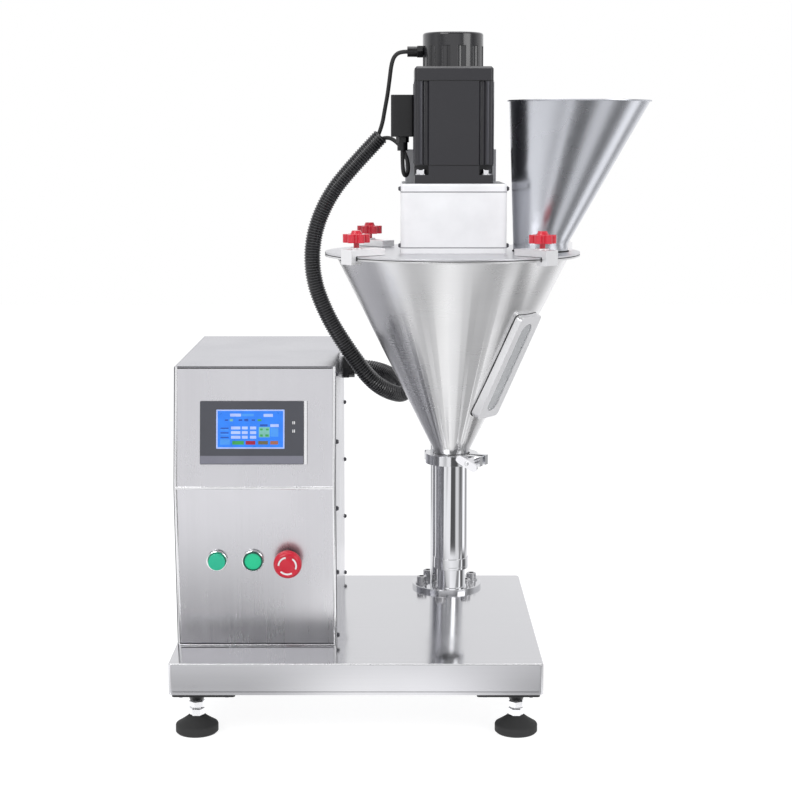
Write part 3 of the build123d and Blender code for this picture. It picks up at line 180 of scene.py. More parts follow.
def group(name: str, inputs: Sequence[tuple[str, str, Any]], outputs: Sequence[str]) -> tuple[Tree, Any, Any]:
    """Starts a shader node group.

    Args:
        name: The group's name.
        inputs: Name, socket type and default of each input.
        outputs: Names of the outputs, all values.

    Returns:
        The tree, its input node and its output node.
    """
    made = bpy.data.node_groups.new(name, "ShaderNodeTree")
    for label, kind, default in inputs:
        socket = made.interface.new_socket(name=label, in_out="INPUT", socket_type=kind)
        socket.default_value = default
    for label in outputs:
        made.interface.new_socket(name=label, in_out="OUTPUT", socket_type="NodeSocketFloat")
    tree = Tree(made)
    return tree, tree.node("NodeGroupInput"), tree.node("NodeGroupOutput")


def brushing_group() -> bpy.types.NodeTree:
    """Fine parallel lines, as an abrasive belt leaves them, with a few deeper ones.

    Returns:
        The group, with the outputs Shade and Height.
    """
    if "brushing" in bpy.data.node_groups:
        return bpy.data.node_groups["brushing"]
    tree, start, end = group("brushing", [("Stretch", "NodeSocketVector", (9.0, 700.0, 700.0))],
                             ["Shade", "Height"])
    where = tree.node("ShaderNodeTexCoord").outputs["Object"]
    drawn = tree.node("ShaderNodeVectorMath", {0: where, 1: start.outputs[0]},
                      operation="MULTIPLY").outputs[0]
    fine = tree.node("ShaderNodeTexNoise", {"Vector": drawn, "Scale": 1.0, "Detail": 2.0,
                                            "Roughness": 0.5}).outputs[0]
    broad = tree.node("ShaderNodeTexNoise", {"Vector": drawn, "Scale": 0.2, "Detail": 0.0}).outputs[0]
    shade = tree.math("ADD", tree.math("MULTIPLY", fine, 0.65), tree.math("MULTIPLY", broad, 0.35))
    tree.tree.links.new(shade, end.inputs[0])
    tree.tree.links.new(broad, end.inputs[1])
    return tree.tree


def clouding_group() -> bpy.types.NodeTree:
    """Soft uneven patches, such as wiped metal or a slightly worn plastic skin has.

    Returns:
        The group, with the output Value from 0 to 1.
    """
    if "clouding" in bpy.data.node_groups:
        return bpy.data.node_groups["clouding"]
    tree, start, end = group("clouding", [("Scale", "NodeSocketFloat", 12.0)], ["Value"])
    where = tree.node("ShaderNodeTexCoord").outputs["Object"]
    cloud = tree.node("ShaderNodeTexNoise", {"Vector": where, "Scale": start.outputs[0], "Detail": 3.0,
                                             "Roughness": 0.55}).outputs[0]
    tree.tree.links.new(tree.between(cloud, (0.3, 0.7)), end.inputs[0])
    return tree.tree


def pebble_group() -> bpy.types.NodeTree:
    """The fine pebbled skin of a moulding or a powder coat.

    Returns:
        The group, with the output Height.
    """
    if "pebble" in bpy.data.node_groups:
        return bpy.data.node_groups["pebble"]
    tree, start, end = group("pebble", [("Scale", "NodeSocketFloat", 900.0)], ["Height"])
    where = tree.node("ShaderNodeTexCoord").outputs["Object"]
    cells = tree.node("ShaderNodeTexVoronoi", {"Vector": where, "Scale": start.outputs[0]}).outputs[0]
    tree.tree.links.new(cells, end.inputs[0])
    return tree.tree


@dataclass(frozen=True)
class Finish:
    """What all finishes share.

    Attributes:
        name: The material's name.
        colour: Linear base colour.
        rough: Roughness.
    """

    name: str
    colour: Colour
    rough: float

    def material(self) -> bpy.types.Material:
        """Builds the material once and returns it."""
        if self.name in bpy.data.materials:
            return bpy.data.materials[self.name]
        made = bpy.data.materials.new(self.name)
        made.use_nodes = True
        tree = Tree(made.node_tree)
        surface = made.node_tree.nodes["Principled BSDF"]
        surface.inputs["Base Color"].default_value = (*self.colour, 1.0)
        surface.inputs["Roughness"].default_value = self.rough
        self.dress(tree, surface)
        return made

    def dress(self, tree: Tree, surface: bpy.types.Node) -> None:
        """Adds the finish's own nodes to the plain surface."""

    def shades(self, dark: float, light: float) -> tuple[tuple[float, ...], tuple[float, ...]]:
        """Two shades of the colour, darker and lighter by the given factors."""
        low = tuple(min(c * dark, 1.0) for c in self.colour) + (1.0,)
        high = tuple(min(c * light, 1.0) for c in self.colour) + (1.0,)
        return low, high

    def clouded(self, tree: Tree, surface: bpy.types.Node, scale: float, spread: float) -> Any:
        """Varies the roughness in soft patches and returns the patches' value."""
        cloud = tree.node("ShaderNodeGroup", node_tree=clouding_group())
        cloud.inputs["Scale"].default_value = scale
        rough = tree.span(cloud.outputs[0], self.rough - spread, self.rough + spread)
        tree.tree.links.new(rough, surface.inputs["Roughness"])
        return cloud.outputs[0]

    def bumped(self, tree: Tree, surface: bpy.types.Node, height: Any, strength: float, depth: float) -> None:
        """Feeds a height into the surface's normal."""
        bump = tree.node("ShaderNodeBump", {"Height": height, "Strength": strength, "Distance": depth})
        tree.tree.links.new(bump.outputs[0], surface.inputs["Normal"])


@dataclass(frozen=True)
class BrushedMetal(Finish):
    """Sheet or bar with a belt-ground grain.

    Attributes:
        brushing: Which way the lines run.
        strength: How much the lines catch the light.
        contrast: How much lighter and darker the lines are.
    """

    brushing: Brushing = Brushing.ALONG_X
    strength: float = 0.0
    contrast: float = 0.04

    def dress(self, tree: Tree, surface: bpy.types.Node) -> None:
        """Adds the lines to colour, roughness and normal."""
        surface.inputs["Metallic"].default_value = 1.0
        lines = tree.node("ShaderNodeGroup", node_tree=brushing_group())
        lines.inputs["Stretch"].default_value = self.brushing.value
        cloud = tree.node("ShaderNodeGroup", node_tree=clouding_group())
        cloud.inputs["Scale"].default_value = 9.0
        low, high = self.shades(1.0 - self.contrast, 1.0 + self.contrast)
        colour = tree.blend(lines.outputs["Shade"], low, high)
        tree.tree.links.new(colour, surface.inputs["Base Color"])
        streak = tree.span(lines.outputs["Shade"], self.rough * 0.9, self.rough * 1.1)
        patch = tree.span(cloud.outputs[0], -0.03, 0.03)
        tree.tree.links.new(tree.math("ADD", streak, patch), surface.inputs["Roughness"])
        if self.strength:
            self.bumped(tree, surface, lines.outputs["Height"], self.strength, 0.00003)


@dataclass(frozen=True)
class PolishedMetal(Finish):
    """Mirror or satin metal with faint wiping marks.

    Attributes:
        wave: Strength of the slight unevenness of a polished sheet.
    """

    wave: float = 0.02

    def dress(self, tree: Tree, surface: bpy.types.Node) -> None:
        """Adds wiping marks and a faint unevenness."""
        surface.inputs["Metallic"].default_value = 1.0
        cloud = self.clouded(tree, surface, 14.0, self.rough * 0.08)
        low, high = self.shades(0.98, 1.02)
        tree.tree.links.new(tree.blend(cloud, low, high), surface.inputs["Base Color"])
        self.bumped(tree, surface, cloud, self.wave, 0.0006)


@dataclass(frozen=True)
class Coating(Finish):
    """Paint, powder coat, plastic or rubber skin.

    Attributes:
        pebble: Scale of the skin's pebbles.
        strength: How deep the pebbles look.
        coat: Weight of a clear gloss over the skin.
    """

    pebble: float = 900.0
    strength: float = 0.05
    coat: float = 0.0

    def dress(self, tree: Tree, surface: bpy.types.Node) -> None:
        """Adds the skin and slight patches of colour."""
        surface.inputs["Coat Weight"].default_value = self.coat
        surface.inputs["Coat Roughness"].default_value = 0.06
        cloud = self.clouded(tree, surface, 18.0, min(0.06, self.rough * 0.25))
        low, high = self.shades(0.94, 1.05)
        tree.tree.links.new(tree.blend(cloud, low, high), surface.inputs["Base Color"])
        skin = tree.node("ShaderNodeGroup", node_tree=pebble_group())
        skin.inputs["Scale"].default_value = self.pebble
        self.bumped(tree, surface, skin.outputs[0], self.strength, 0.0002)


@dataclass(frozen=True)
class Corrugated(Coating):
    """A ribbed skin whose crests, which the mesh marks in the attribute crest, are painted paler as a painted
    highlight.

    Attributes:
        pale: Linear colour of a crest, a painted highlight.
    """

    pale: Colour = (0.05, 0.05, 0.053)

    def dress(self, tree: Tree, surface: bpy.types.Node) -> None:
        """Adds the skin and the crests painted paler as a highlight."""
        super().dress(tree, surface)
        crest = tree.node("ShaderNodeAttribute", attribute_name="crest").outputs["Fac"]
        # Painted highlight: the crests get the paler colour.
        colour = tree.blend(crest, (*self.colour, 1.0), (*self.pale, 1.0))
        tree.tree.links.new(colour, surface.inputs["Base Color"])


@dataclass(frozen=True)
class ClearGlass(Finish):
    """Clear or milky glass.

    Attributes:
        clear: Share of the light that goes through.
    """

    clear: float = 1.0

    def dress(self, tree: Tree, surface: bpy.types.Node) -> None:
        """Makes the surface let light through."""
        surface.inputs["Transmission Weight"].default_value = self.clear
        surface.inputs["IOR"].default_value = 1.45
        self.clouded(tree, surface, 20.0, self.rough * 0.4)


@dataclass(frozen=True)
class Glow(Finish):
    """A lit patch of a display, behind a glossy front.

    Attributes:
        light: Strength of the light that it gives.
    """

    light: float = 0.8

    def dress(self, tree: Tree, surface: bpy.types.Node) -> None:
        """Adds the light, a little uneven as a back light is."""
        cloud = self.clouded(tree, surface, 60.0, 0.03)
        low, high = self.shades(0.9, 1.08)
        colour = tree.blend(cloud, low, high)
        tree.tree.links.new(colour, surface.inputs["Base Color"])
        tree.tree.links.new(colour, surface.inputs["Emission Color"])
        surface.inputs["Emission Strength"].default_value = self.light


SHEET_X = BrushedMetal("stainless_grain_x", (0.68, 0.68, 0.70), 0.30, Brushing.ALONG_X)
FRONT = BrushedMetal("stainless_front", (0.70, 0.695, 0.72), 0.27, Brushing.UPRIGHT, 0.0, 0.05)
SHEET_Y = BrushedMetal("stainless_grain_y", (0.50, 0.50, 0.53), 0.24, Brushing.ALONG_Y)
DECK = BrushedMetal("deck_polished", (0.64, 0.64, 0.655), 0.13, Brushing.ALONG_X)
CONE = BrushedMetal("cone_spun", (0.76, 0.76, 0.762), 0.28, Brushing.ROUND_Z, 0.0, 0.025)
FUNNEL = PolishedMetal("funnel_polished", (0.62, 0.635, 0.675), 0.27, 0.0)
STEEL = PolishedMetal("steel_polished", (0.66, 0.665, 0.68), 0.09)
MIRROR = PolishedMetal("steel_mirror", (0.70, 0.705, 0.72), 0.05, 0.03)
# Polished metal for nuts and rings, also used brighter than the sheet for beads that paint a highlight along
# the cabinet's and tray's edges.
TRIM_AND_HIGHLIGHT = PolishedMetal("polished_trim_and_highlight", (0.90, 0.90, 0.91), 0.22, 0.0)
CLAMP = PolishedMetal("clamp_blasted", (0.94, 0.94, 0.95), 0.48, 0.0)
SATIN = BrushedMetal("steel_satin", (0.56, 0.56, 0.57), 0.34, Brushing.ALONG_Z, 0.08)
ALUMINIUM = BrushedMetal("aluminium_satin", (0.50, 0.505, 0.52), 0.36, Brushing.ALONG_X, 0.08)
CHROME = PolishedMetal("chrome_trim", (0.76, 0.76, 0.78), 0.06)
GEAR = BrushedMetal("gear_steel", (0.40, 0.40, 0.42), 0.32, Brushing.ROUND_Z, 0.08)
DARK_STEEL = PolishedMetal("blackened_steel", (0.10, 0.10, 0.11), 0.30)
WHITE = Coating("white_satin_coat", (0.92, 0.92, 0.935), 0.38, 1400.0, 0.01, 0.10)
# A much paler red for the mushroom's underside: painted light that lifts the shade under the head and in its
# reflection on the panel.
UNDERSIDE_PAINTED_LIGHTER = Coating("red_underside_painted_lighter", (0.80, 0.36, 0.38), 0.45, 700.0, 0.01)
POST = PolishedMetal("dark_post", (0.085, 0.085, 0.095), 0.30, 0.0)
PALE_SEAM = Coating("pale_joint", (0.30, 0.30, 0.32), 0.60, 900.0, 0.03)
# Dark grey for the housing's top face: painted shade along the top of the white housing.
TOP_PAINTED_SHADE = Coating("grey_top_painted_shade", (0.24, 0.245, 0.26), 0.42, 1400.0, 0.03)
CHARCOAL = Coating("motor_charcoal_coat", (0.0195, 0.019, 0.0235), 0.36, 1300.0, 0.01, 0.15)
BLACK_GLOSS = Coating("black_gloss_plastic", (0.014, 0.014, 0.016), 0.22, 700.0, 0.003, 0.6)
BLACK = Coating("black_moulding", (0.006, 0.006, 0.007), 0.36, 1000.0, 0.04)
BEZEL = Coating("bezel_moulding", (0.068, 0.070, 0.084), 0.46, 1500.0, 0.04)
BEZEL_STRIP = Coating("bezel_strip", (0.195, 0.195, 0.235), 0.42, 1500.0, 0.03)
# The conduit's crests are painted paler than its grooves, a painted highlight along each rib.
RIBBED = Corrugated("ribbed_conduit", (0.002, 0.002, 0.0025), 0.30, 700.0, 0.004, 0.3)
# Dark lines of painted shade and painted dark reflection, beside the cabinet's edges and the bezel.
SHADE_LINE = Coating("painted_shadow_line", (0.11, 0.11, 0.12), 0.60, 900.0, 0.03)
JACKET = Coating("cable_jacket", (0.014, 0.014, 0.016), 0.34, 600.0, 0.03, 0.2)
RUBBER = Coating("black_rubber", (0.012, 0.012, 0.013), 0.52, 500.0, 0.08)
RED = Coating("red_gloss_plastic", (0.62, 0.007, 0.030), 0.32, 500.0, 0.01, 0.15)
RED_KNOB = Coating("red_star_knob", (0.66, 0.022, 0.045), 0.26, 500.0, 0.01, 0.4)
GREEN = Coating("green_cap", (0.013, 0.50, 0.29), 0.34, 500.0, 0.01, 0.1)
GREEN_LIT = Coating("green_cap_bright", (0.006, 0.62, 0.30), 0.34, 500.0, 0.01, 0.1)
GREEN_DARK = Coating("green_ring", (0.004, 0.085, 0.058), 0.34, 500.0, 0.01, 0.1)
MARK_WHITE = Coating("white_mark", (0.82, 0.82, 0.82), 0.45, 600.0, 0.02)
MILKY = ClearGlass("milky_window", (0.66, 0.67, 0.68), 0.22, 0.35)
BLUE_FIELD = Glow("display_blue", (0.020, 0.19, 0.78), 0.30, 0.18)
PALE_FIELD = Glow("display_pale", (0.36, 0.46, 0.80), 0.30, 0.22)
SKY_FIELD = Glow("display_sky", (0.055, 0.27, 0.74), 0.30, 0.18)
DEEP_FIELD = Glow("display_deep", (0.012, 0.07, 0.36), 0.30, 0.15)
MINT_FIELD = Glow("display_mint", (0.16, 0.42, 0.36), 0.30, 0.15)
LEAF_FIELD = Glow("display_green", (0.04, 0.30, 0.07), 0.30, 0.18)
WINE_FIELD = Glow("display_wine", (0.30, 0.006, 0.03), 0.30, 0.18)
OLIVE_FIELD = Glow("display_olive", (0.13, 0.11, 0.05), 0.30, 0.15)
RUST_FIELD = Glow("display_rust", (0.30, 0.11, 0.06), 0.30, 0.15)


def smooth(mesh: bpy.types.Mesh, angle: float = 35.0) -> None:
    """Shades a mesh smooth, with sharp edges above an angle in degrees."""
    mesh.polygons.foreach_set("use_smooth", [True] * len(mesh.polygons))
    mesh.set_sharp_from_angle(angle=math.radians(angle))
    mesh.update()


def add_bevel(piece: bpy.types.Object, width: float, segments: int = 2, angle: float = 32.0) -> None:
    """Rounds a piece's sharp edges.

    Args:
        piece: The piece.
        width: Width of the rounding in metres.
        segments: Faces across it.
        angle: Edges sharper than this, in degrees, are rounded.
    """
    bevel = piece.modifiers.new("edge", "BEVEL")
    bevel.width = width
    bevel.segments = segments
    bevel.limit_method = "ANGLE"
    bevel.angle_limit = math.radians(angle)
    bevel.harden_normals = True
    bevel.use_clamp_overlap = True


def new_piece(name: str, mesh: bpy.types.Mesh, finish: Finish, body: str) -> bpy.types.Object:
    """Makes a piece from a mesh, gives it its finish and lets it ride on its body.

    Args:
        name: The piece's name.
        mesh: Its mesh, in place.
        finish: Its finish.
        body: The body that it rides on.

    Returns:
        The piece.
    """
    piece = bpy.data.objects.new(name, mesh)
    bpy.context.scene.collection.objects.link(piece)
    if not mesh.materials:
        mesh.materials.append(finish.material())
    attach(piece, str(getattr(body, "value", body)))
    return piece


def mesh_from(name: str, build: bmesh.types.BMesh, recalc: bool = True,
              angle: float = 35.0) -> bpy.types.Mesh:
    """Turns a bmesh into a smooth-shaded mesh and frees it."""
    bmesh.ops.remove_doubles(build, verts=build.verts, dist=1e-6)
    if recalc:
        bmesh.ops.recalc_face_normals(build, faces=build.faces)
    mesh = bpy.data.meshes.new(name)
    build.to_mesh(mesh)
    build.free()
    smooth(mesh, angle)
    return mesh


def lathe(name: str, profile: Sequence[Flat], place: Matrix, segments: int = 96,
          closed: bool = True) -> bpy.types.Mesh:
    """Turns a profile round an axis.

    Args:
        name: The mesh's name.
        profile: Points as radius and height in metres.
        place: Where the axis stands; its local Z is the axis.
        segments: Faces round the axis.
        closed: Whether the last point joins the first.

    Returns:
        The mesh, in place.
    """
    build = bmesh.new()
    rings = []
    for radius, height in profile:
        if radius < 1e-7:
            rings.append([build.verts.new(place @ Vector((0, 0, height)))])
            continue
        ring = []
        for i in range(segments):
            turn = 2 * math.pi * i / segments
            spot = Vector((radius * math.cos(turn), radius * math.sin(turn), height))
            ring.append(build.verts.new(place @ spot))
        rings.append(ring)
    pairs = list(zip(rings, rings[1:]))
    if closed and len(rings[0]) > 1 and len(rings[-1]) > 1:
        pairs.append((rings[-1], rings[0]))
    for low, high in pairs:
        for i in range(segments):
            j = (i + 1) % segments
            corners = [low[i % len(low)], low[j % len(low)], high[j % len(high)], high[i % len(high)]]
            unique = [v for k, v in enumerate(corners) if v not in corners[:k]]
            if len(unique) > 2:
                build.faces.new(unique)
    return mesh_from(name, build)


def frame_at(origin: Sequence[float], normal: Sequence[float], along: Sequence[float] = (1, 0, 0)) -> Matrix:
    """A placement whose Z is the normal and whose X lies nearest to a direction.

    Args:
        origin: The placement's origin.
        normal: Direction of its Z.
        along: Direction that its X comes near to.

    Returns:
        The placement.
    """
    z = Vector(normal).normalized()
    x = Vector(along) - z * Vector(along).dot(z)
    x.normalize()
    y = z.cross(x)
    made = Matrix((x, y, z)).transposed().to_4x4()
    made.translation = Vector(origin)
    return made


def slab(name: str, outline: Sequence[Flat], place: Matrix, low: float,
         high: float) -> bpy.types.Mesh:
    """A flat plate from an outline, between two heights over its placement."""
    build = bmesh.new()
    bottom = [build.verts.new(place @ Vector((x, y, low))) for x, y in outline]
    top = [build.verts.new(place @ Vector((x, y, high))) for x, y in outline]
    build.faces.new(bottom)
    build.faces.new(top)
    for i in range(len(outline)):
        j = (i + 1) % len(outline)
        build.faces.new((bottom[i], bottom[j], top[j], top[i]))
    return mesh_from(name, build)


def ring_slab(name: str, outer: Sequence[Flat], inner: Sequence[Flat], place: Matrix, low: float,
              high: float) -> bpy.types.Mesh:
    """A flat frame between two outlines with as many points each, between two heights over its placement."""
    build = bmesh.new()
    loops = [[build.verts.new(place @ Vector((x, y, z))) for x, y in line]
             for line, z in ((outer, low), (outer, high), (inner, high), (inner, low))]
    for one, two in zip(loops, loops[1:] + loops[:1]):
        for i in range(len(one)):
            j = (i + 1) % len(one)
            build.faces.new((one[i], one[j], two[j], two[i]))
    return mesh_from(name, build)


def rectangle(x0: float, y0: float, x1: float, y1: float, corner: float = 0.0,
              steps: int = 5) -> list[Flat]:
    """Outline of a rectangle with round corners, anticlockwise."""
    if corner <= 0:
        return [(x0, y0), (x1, y0), (x1, y1), (x0, y1)]
    points = []
    for cx, cy, start in ((x1 - corner, y0 + corner, -90), (x1 - corner, y1 - corner, 0),
                          (x0 + corner, y1 - corner, 90), (x0 + corner, y0 + corner, 180)):
        for i in range(steps + 1):
            turn = math.radians(start + 90 * i / steps)
            points.append((cx + corner * math.cos(turn), cy + corner * math.sin(turn)))
    return points


def softened(frame: dict[str, Any], node: str, finish: Finish, body: str, bevel: float = 0.0005,
             segments: int = 2) -> bpy.types.Object:
    """A copy of a solid with merged faces, rounded edges and its finish, which stands for it.

    Args:
        frame: What the frame's load returned.
        node: The solid's node.
        finish: The copy's finish.
        body: The body that it rides on.
        bevel: Width of the rounding in metres, or zero for none.
        segments: Faces across the rounding.

    Returns:
        The copy.
    """
    source = frame["nodes"][node].data
    build = bmesh.new()
    verts = [build.verts.new(v.co) for v in source.vertices]
    for face in source.polygons:
        build.faces.new([verts[i] for i in face.vertices])
    bmesh.ops.remove_doubles(build, verts=build.verts, dist=2e-6)
    bmesh.ops.dissolve_limit(build, angle_limit=math.radians(0.4), verts=build.verts, edges=build.edges)
    mesh = mesh_from(f"{node}_skin", build, recalc=False)
    piece = new_piece(f"{node}_skin", mesh, finish, body)
    if bevel > 0:
        add_bevel(piece, bevel, segments)
    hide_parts(node)
    return piece


def piping(name: str, points: Sequence[Sequence[float]], outward: Sequence[float], wide: float, high: float,
           closed: bool = False, sides: int = 12) -> bpy.types.Mesh:
    """A bead with an oval section along a line of points.

    Args:
        name: The mesh's name.
        points: The line's corners.
        outward: Direction in which the bead is high.
        wide: Half its width.
        high: Half its height.
        closed: Whether the last point joins the first.
        sides: Faces round it.

    Returns:
        The mesh, in place.
    """
    build = bmesh.new()
    line = [Vector(point) for point in points]
    rings = []
    for i, place in enumerate(line):
        before = line[i - 1] if closed or i else place
        after = line[(i + 1) % len(line)] if closed or i + 1 < len(line) else place
        ahead = (after - before).normalized()
        across = ahead.cross(Vector(outward)).normalized()
        top = across.cross(ahead)
        turns = [2 * math.pi * k / sides for k in range(sides)]
        spots = [across * (wide * math.cos(turn)) + top * (high * math.sin(turn)) for turn in turns]
        rings.append([build.verts.new(place + spot) for spot in spots])
    pairs = list(zip(rings, rings[1:])) + ([(rings[-1], rings[0])] if closed else [])
    for one, two in pairs:
        for k in range(sides):
            build.faces.new((one[k], one[(k + 1) % sides], two[(k + 1) % sides], two[k]))
    if not closed:
        build.faces.new(rings[0])
        build.faces.new(rings[-1])
    return mesh_from(name, build)


def repaint(piece: bpy.types.Object, finish: Finish, lowest: Point, highest: Point, facing: Point) -> None:
    """Gives another finish to the faces inside a box that face one way."""
    mesh = piece.data
    mesh.materials.append(finish.material())
    for face in mesh.polygons:
        inside = all(a <= c <= b for a, c, b in zip(lowest, face.center, highest))
        if inside and face.normal.dot(Vector(facing)) > 0.7:
            face.material_index = len(mesh.materials) - 1


def joined(name: str, meshes: Iterable[bpy.types.Mesh]) -> bpy.types.Mesh:
    """Puts several meshes into one, with their materials kept apart.

    Args:
        name: The new mesh's name.
        meshes: The meshes, which are used up.

    Returns:
        The joined mesh.
    """
    build = bmesh.new()
    materials: list[bpy.types.Material] = []
    for mesh in meshes:
        first = len(build.faces)
        build.from_mesh(mesh)
        build.faces.ensure_lookup_table()
        table = []
        for material in mesh.materials:
            if material not in materials:
                materials.append(material)
            table.append(materials.index(material))
        for face in build.faces[first:]:
            face.material_index = table[face.material_index] if table else 0
    made = bpy.data.meshes.new(name)
    build.to_mesh(made)
    build.free()
    for material in materials:
        made.materials.append(material)
    smooth(made)
    return made


def with_finish(mesh: bpy.types.Mesh, finish: Finish) -> bpy.types.Mesh:
    """Gives a mesh its finish and returns it."""
    mesh.materials.clear()
    mesh.materials.append(finish.material())
    return mesh


def fixed_piece(name: str, meshes: Sequence[bpy.types.Mesh], finish: Finish) -> bpy.types.Object:
    """Joins meshes of one finish into a piece of the fixed frame."""
    return new_piece(name, with_finish(joined(name, meshes), finish), finish, Body.FRAME)


class GeometryTree(Tree):
    """A Geometry Nodes tree with named inputs, which is run once and turned into a plain mesh."""

    def __init__(self, name: str, inputs: dict[str, float], finish: Finish) -> None:
        """Starts the tree.

        Args:
            name: The tree's name.
            inputs: Named sizes with their defaults.
            finish: The finish that Set Material gives.
        """
        super().__init__(bpy.data.node_groups.new(name, "GeometryNodeTree"))
        face = self.tree.interface
        face.new_socket(name="Geometry", in_out="INPUT", socket_type="NodeSocketGeometry")
        for label, value in inputs.items():
            kind = "NodeSocketInt" if isinstance(value, int) else "NodeSocketFloat"
            face.new_socket(name=label, in_out="INPUT", socket_type=kind).default_value = value
        face.new_socket(name="Geometry", in_out="OUTPUT", socket_type="NodeSocketGeometry")
        self.start = self.node("NodeGroupInput")
        self.finish = finish

    def size(self, label: str) -> bpy.types.NodeSocket:
        """The socket of a named input."""
        return self.start.outputs[label]

    def close(self, geometry: bpy.types.NodeSocket, smooth_faces: bool = True) -> None:
        """Ends the tree with Realize Instances and Set Material.

        Args:
            geometry: What the tree has made.
            smooth_faces: Whether its faces are shaded smooth.
        """
        real = self.node("GeometryNodeRealizeInstances", {0: geometry})
        shaded = self.node("GeometryNodeSetShadeSmooth", {"Geometry": real.outputs[0],
                                                          "Shade Smooth": smooth_faces})
        coloured = self.node("GeometryNodeSetMaterial", {"Geometry": shaded.outputs[0],
                                                         "Material": self.finish.material()})
        self.node("NodeGroupOutput", {0: coloured.outputs[0]})

    def run(self, name: str, base: bpy.types.ID, values: dict[str, float] | None = None,
            angle: float = 35.0) -> bpy.types.Mesh:
        """Runs the tree on a mesh or curve and returns the plain mesh.

        Args:
            name: The mesh's name.
            base: Data that the tree starts from.
            values: Named inputs that differ from their defaults.
            angle: Edges sharper than this stay sharp.

        Returns:
            The mesh, in place.
        """
        carrier = bpy.data.objects.new(name, base)
        bpy.context.scene.collection.objects.link(carrier)
        modifier = carrier.modifiers.new("repeat", "NODES")
        modifier.node_group = self.tree
        names = {item.name: item.identifier for item in self.tree.interface.items_tree
                 if item.in_out == "INPUT"}
        for label, value in (values or {}).items():
            modifier[names[label]] = value
        graph = bpy.context.evaluated_depsgraph_get()
        made = bpy.data.meshes.new_from_object(carrier.evaluated_get(graph), depsgraph=graph)
        bpy.data.objects.remove(carrier)
        made.name = name
        smooth(made, angle)
        return made


def point_mesh(name: str, places: Sequence[Place]) -> bpy.types.Mesh:
    """Loose points that carry the direction in which each copy stands.

    Args:
        name: The mesh's name.
        places: Point and outward direction of each copy.

    Returns:
        The mesh, with the directions in the attribute named out.
    """
    mesh = bpy.data.meshes.new(name)
    mesh.from_pydata([tuple(place) for place, _ in places], [], [])
    out = mesh.attributes.new("out", "FLOAT_VECTOR", "POINT")
    for i, (_, direction) in enumerate(places):
        out.data[i].vector = Vector(direction).normalized()
    return mesh


def stand_copies(tree: GeometryTree, shape: bpy.types.NodeSocket) -> bpy.types.NodeSocket:
    """Stands a copy of a shape on each point of the tree's geometry, along the point's direction."""
    out = tree.node("GeometryNodeInputNamedAttribute", {"Name": "out"}, data_type="FLOAT_VECTOR").outputs[0]
    turn = tree.node("FunctionNodeAlignRotationToVector", {"Vector": out}, axis="Z").outputs[0]
    copies = tree.node("GeometryNodeInstanceOnPoints", {"Points": tree.start.outputs[0], "Instance": shape,
                                                        "Rotation": turn})
    return copies.outputs[0]


def lifted(tree: GeometryTree, shape: bpy.types.NodeSocket, height: Any) -> bpy.types.NodeSocket:
    """Moves a shape along Z by a value or a socket."""
    offset = tree.node("ShaderNodeCombineXYZ", {"Z": height}).outputs[0]
    return tree.node("GeometryNodeTransform", {"Geometry": shape, "Translation": offset}).outputs[0]


def disc(tree: GeometryTree, vertices: int, low: Any, high: Any, depth: Any) -> bpy.types.NodeSocket:
    """A plain or tapered round, whose base stands at zero."""
    made = tree.node("GeometryNodeMeshCone", {"Vertices": vertices, "Radius Bottom": low, "Radius Top": high,
                                              "Depth": depth})
    return made.outputs[0]


def merged(tree: GeometryTree, shapes: Sequence[bpy.types.NodeSocket]) -> bpy.types.NodeSocket:
    """Joins shapes into one geometry."""
    join = tree.node("GeometryNodeJoinGeometry")
    for shape in shapes:
        tree.tree.links.new(shape, join.inputs[0])
    return join.outputs[0]


def cut(tree: GeometryTree, shape: bpy.types.NodeSocket, tool: bpy.types.NodeSocket) -> bpy.types.NodeSocket:
    """Takes a tool's volume away from a shape."""
    made = tree.node("GeometryNodeMeshBoolean", operation="DIFFERENCE")
    tree.tree.links.new(shape, made.inputs["Mesh 1"])
    tree.tree.links.new(tool, made.inputs["Mesh 2"])
    return made.outputs[0]


def cap_screw_tree(finish: Finish) -> GeometryTree:
    """A socket head screw on a washer."""
    tree = GeometryTree("cap_screw", {"Head Radius": 0.008, "Head Height": 0.010, "Washer Radius": 0.010,
                                      "Washer Height": 0.002, "Socket Radius": 0.0045}, finish)
    head_r, head_h = tree.size("Head Radius"), tree.size("Head Height")
    washer_r = tree.size("Washer Radius")
    washer = disc(tree, 32, washer_r, washer_r, tree.size("Washer Height"))
    body = disc(tree, 32, head_r, head_r, tree.math("MULTIPLY", head_h, 0.88))
    edge = disc(tree, 32, head_r, tree.math("MULTIPLY", head_r, 0.90), tree.math("MULTIPLY", head_h, 0.12))
    whole = merged(tree, [body, lifted(tree, edge, tree.math("MULTIPLY", head_h, 0.88))])
    socket = disc(tree, 6, tree.size("Socket Radius"), tree.size("Socket Radius"), head_h)
    solid = cut(tree, whole, lifted(tree, socket, tree.math("MULTIPLY", head_h, 0.5)))
    shape = merged(tree, [washer, lifted(tree, solid, tree.size("Washer Height"))])
    tree.close(stand_copies(tree, shape))
    return tree


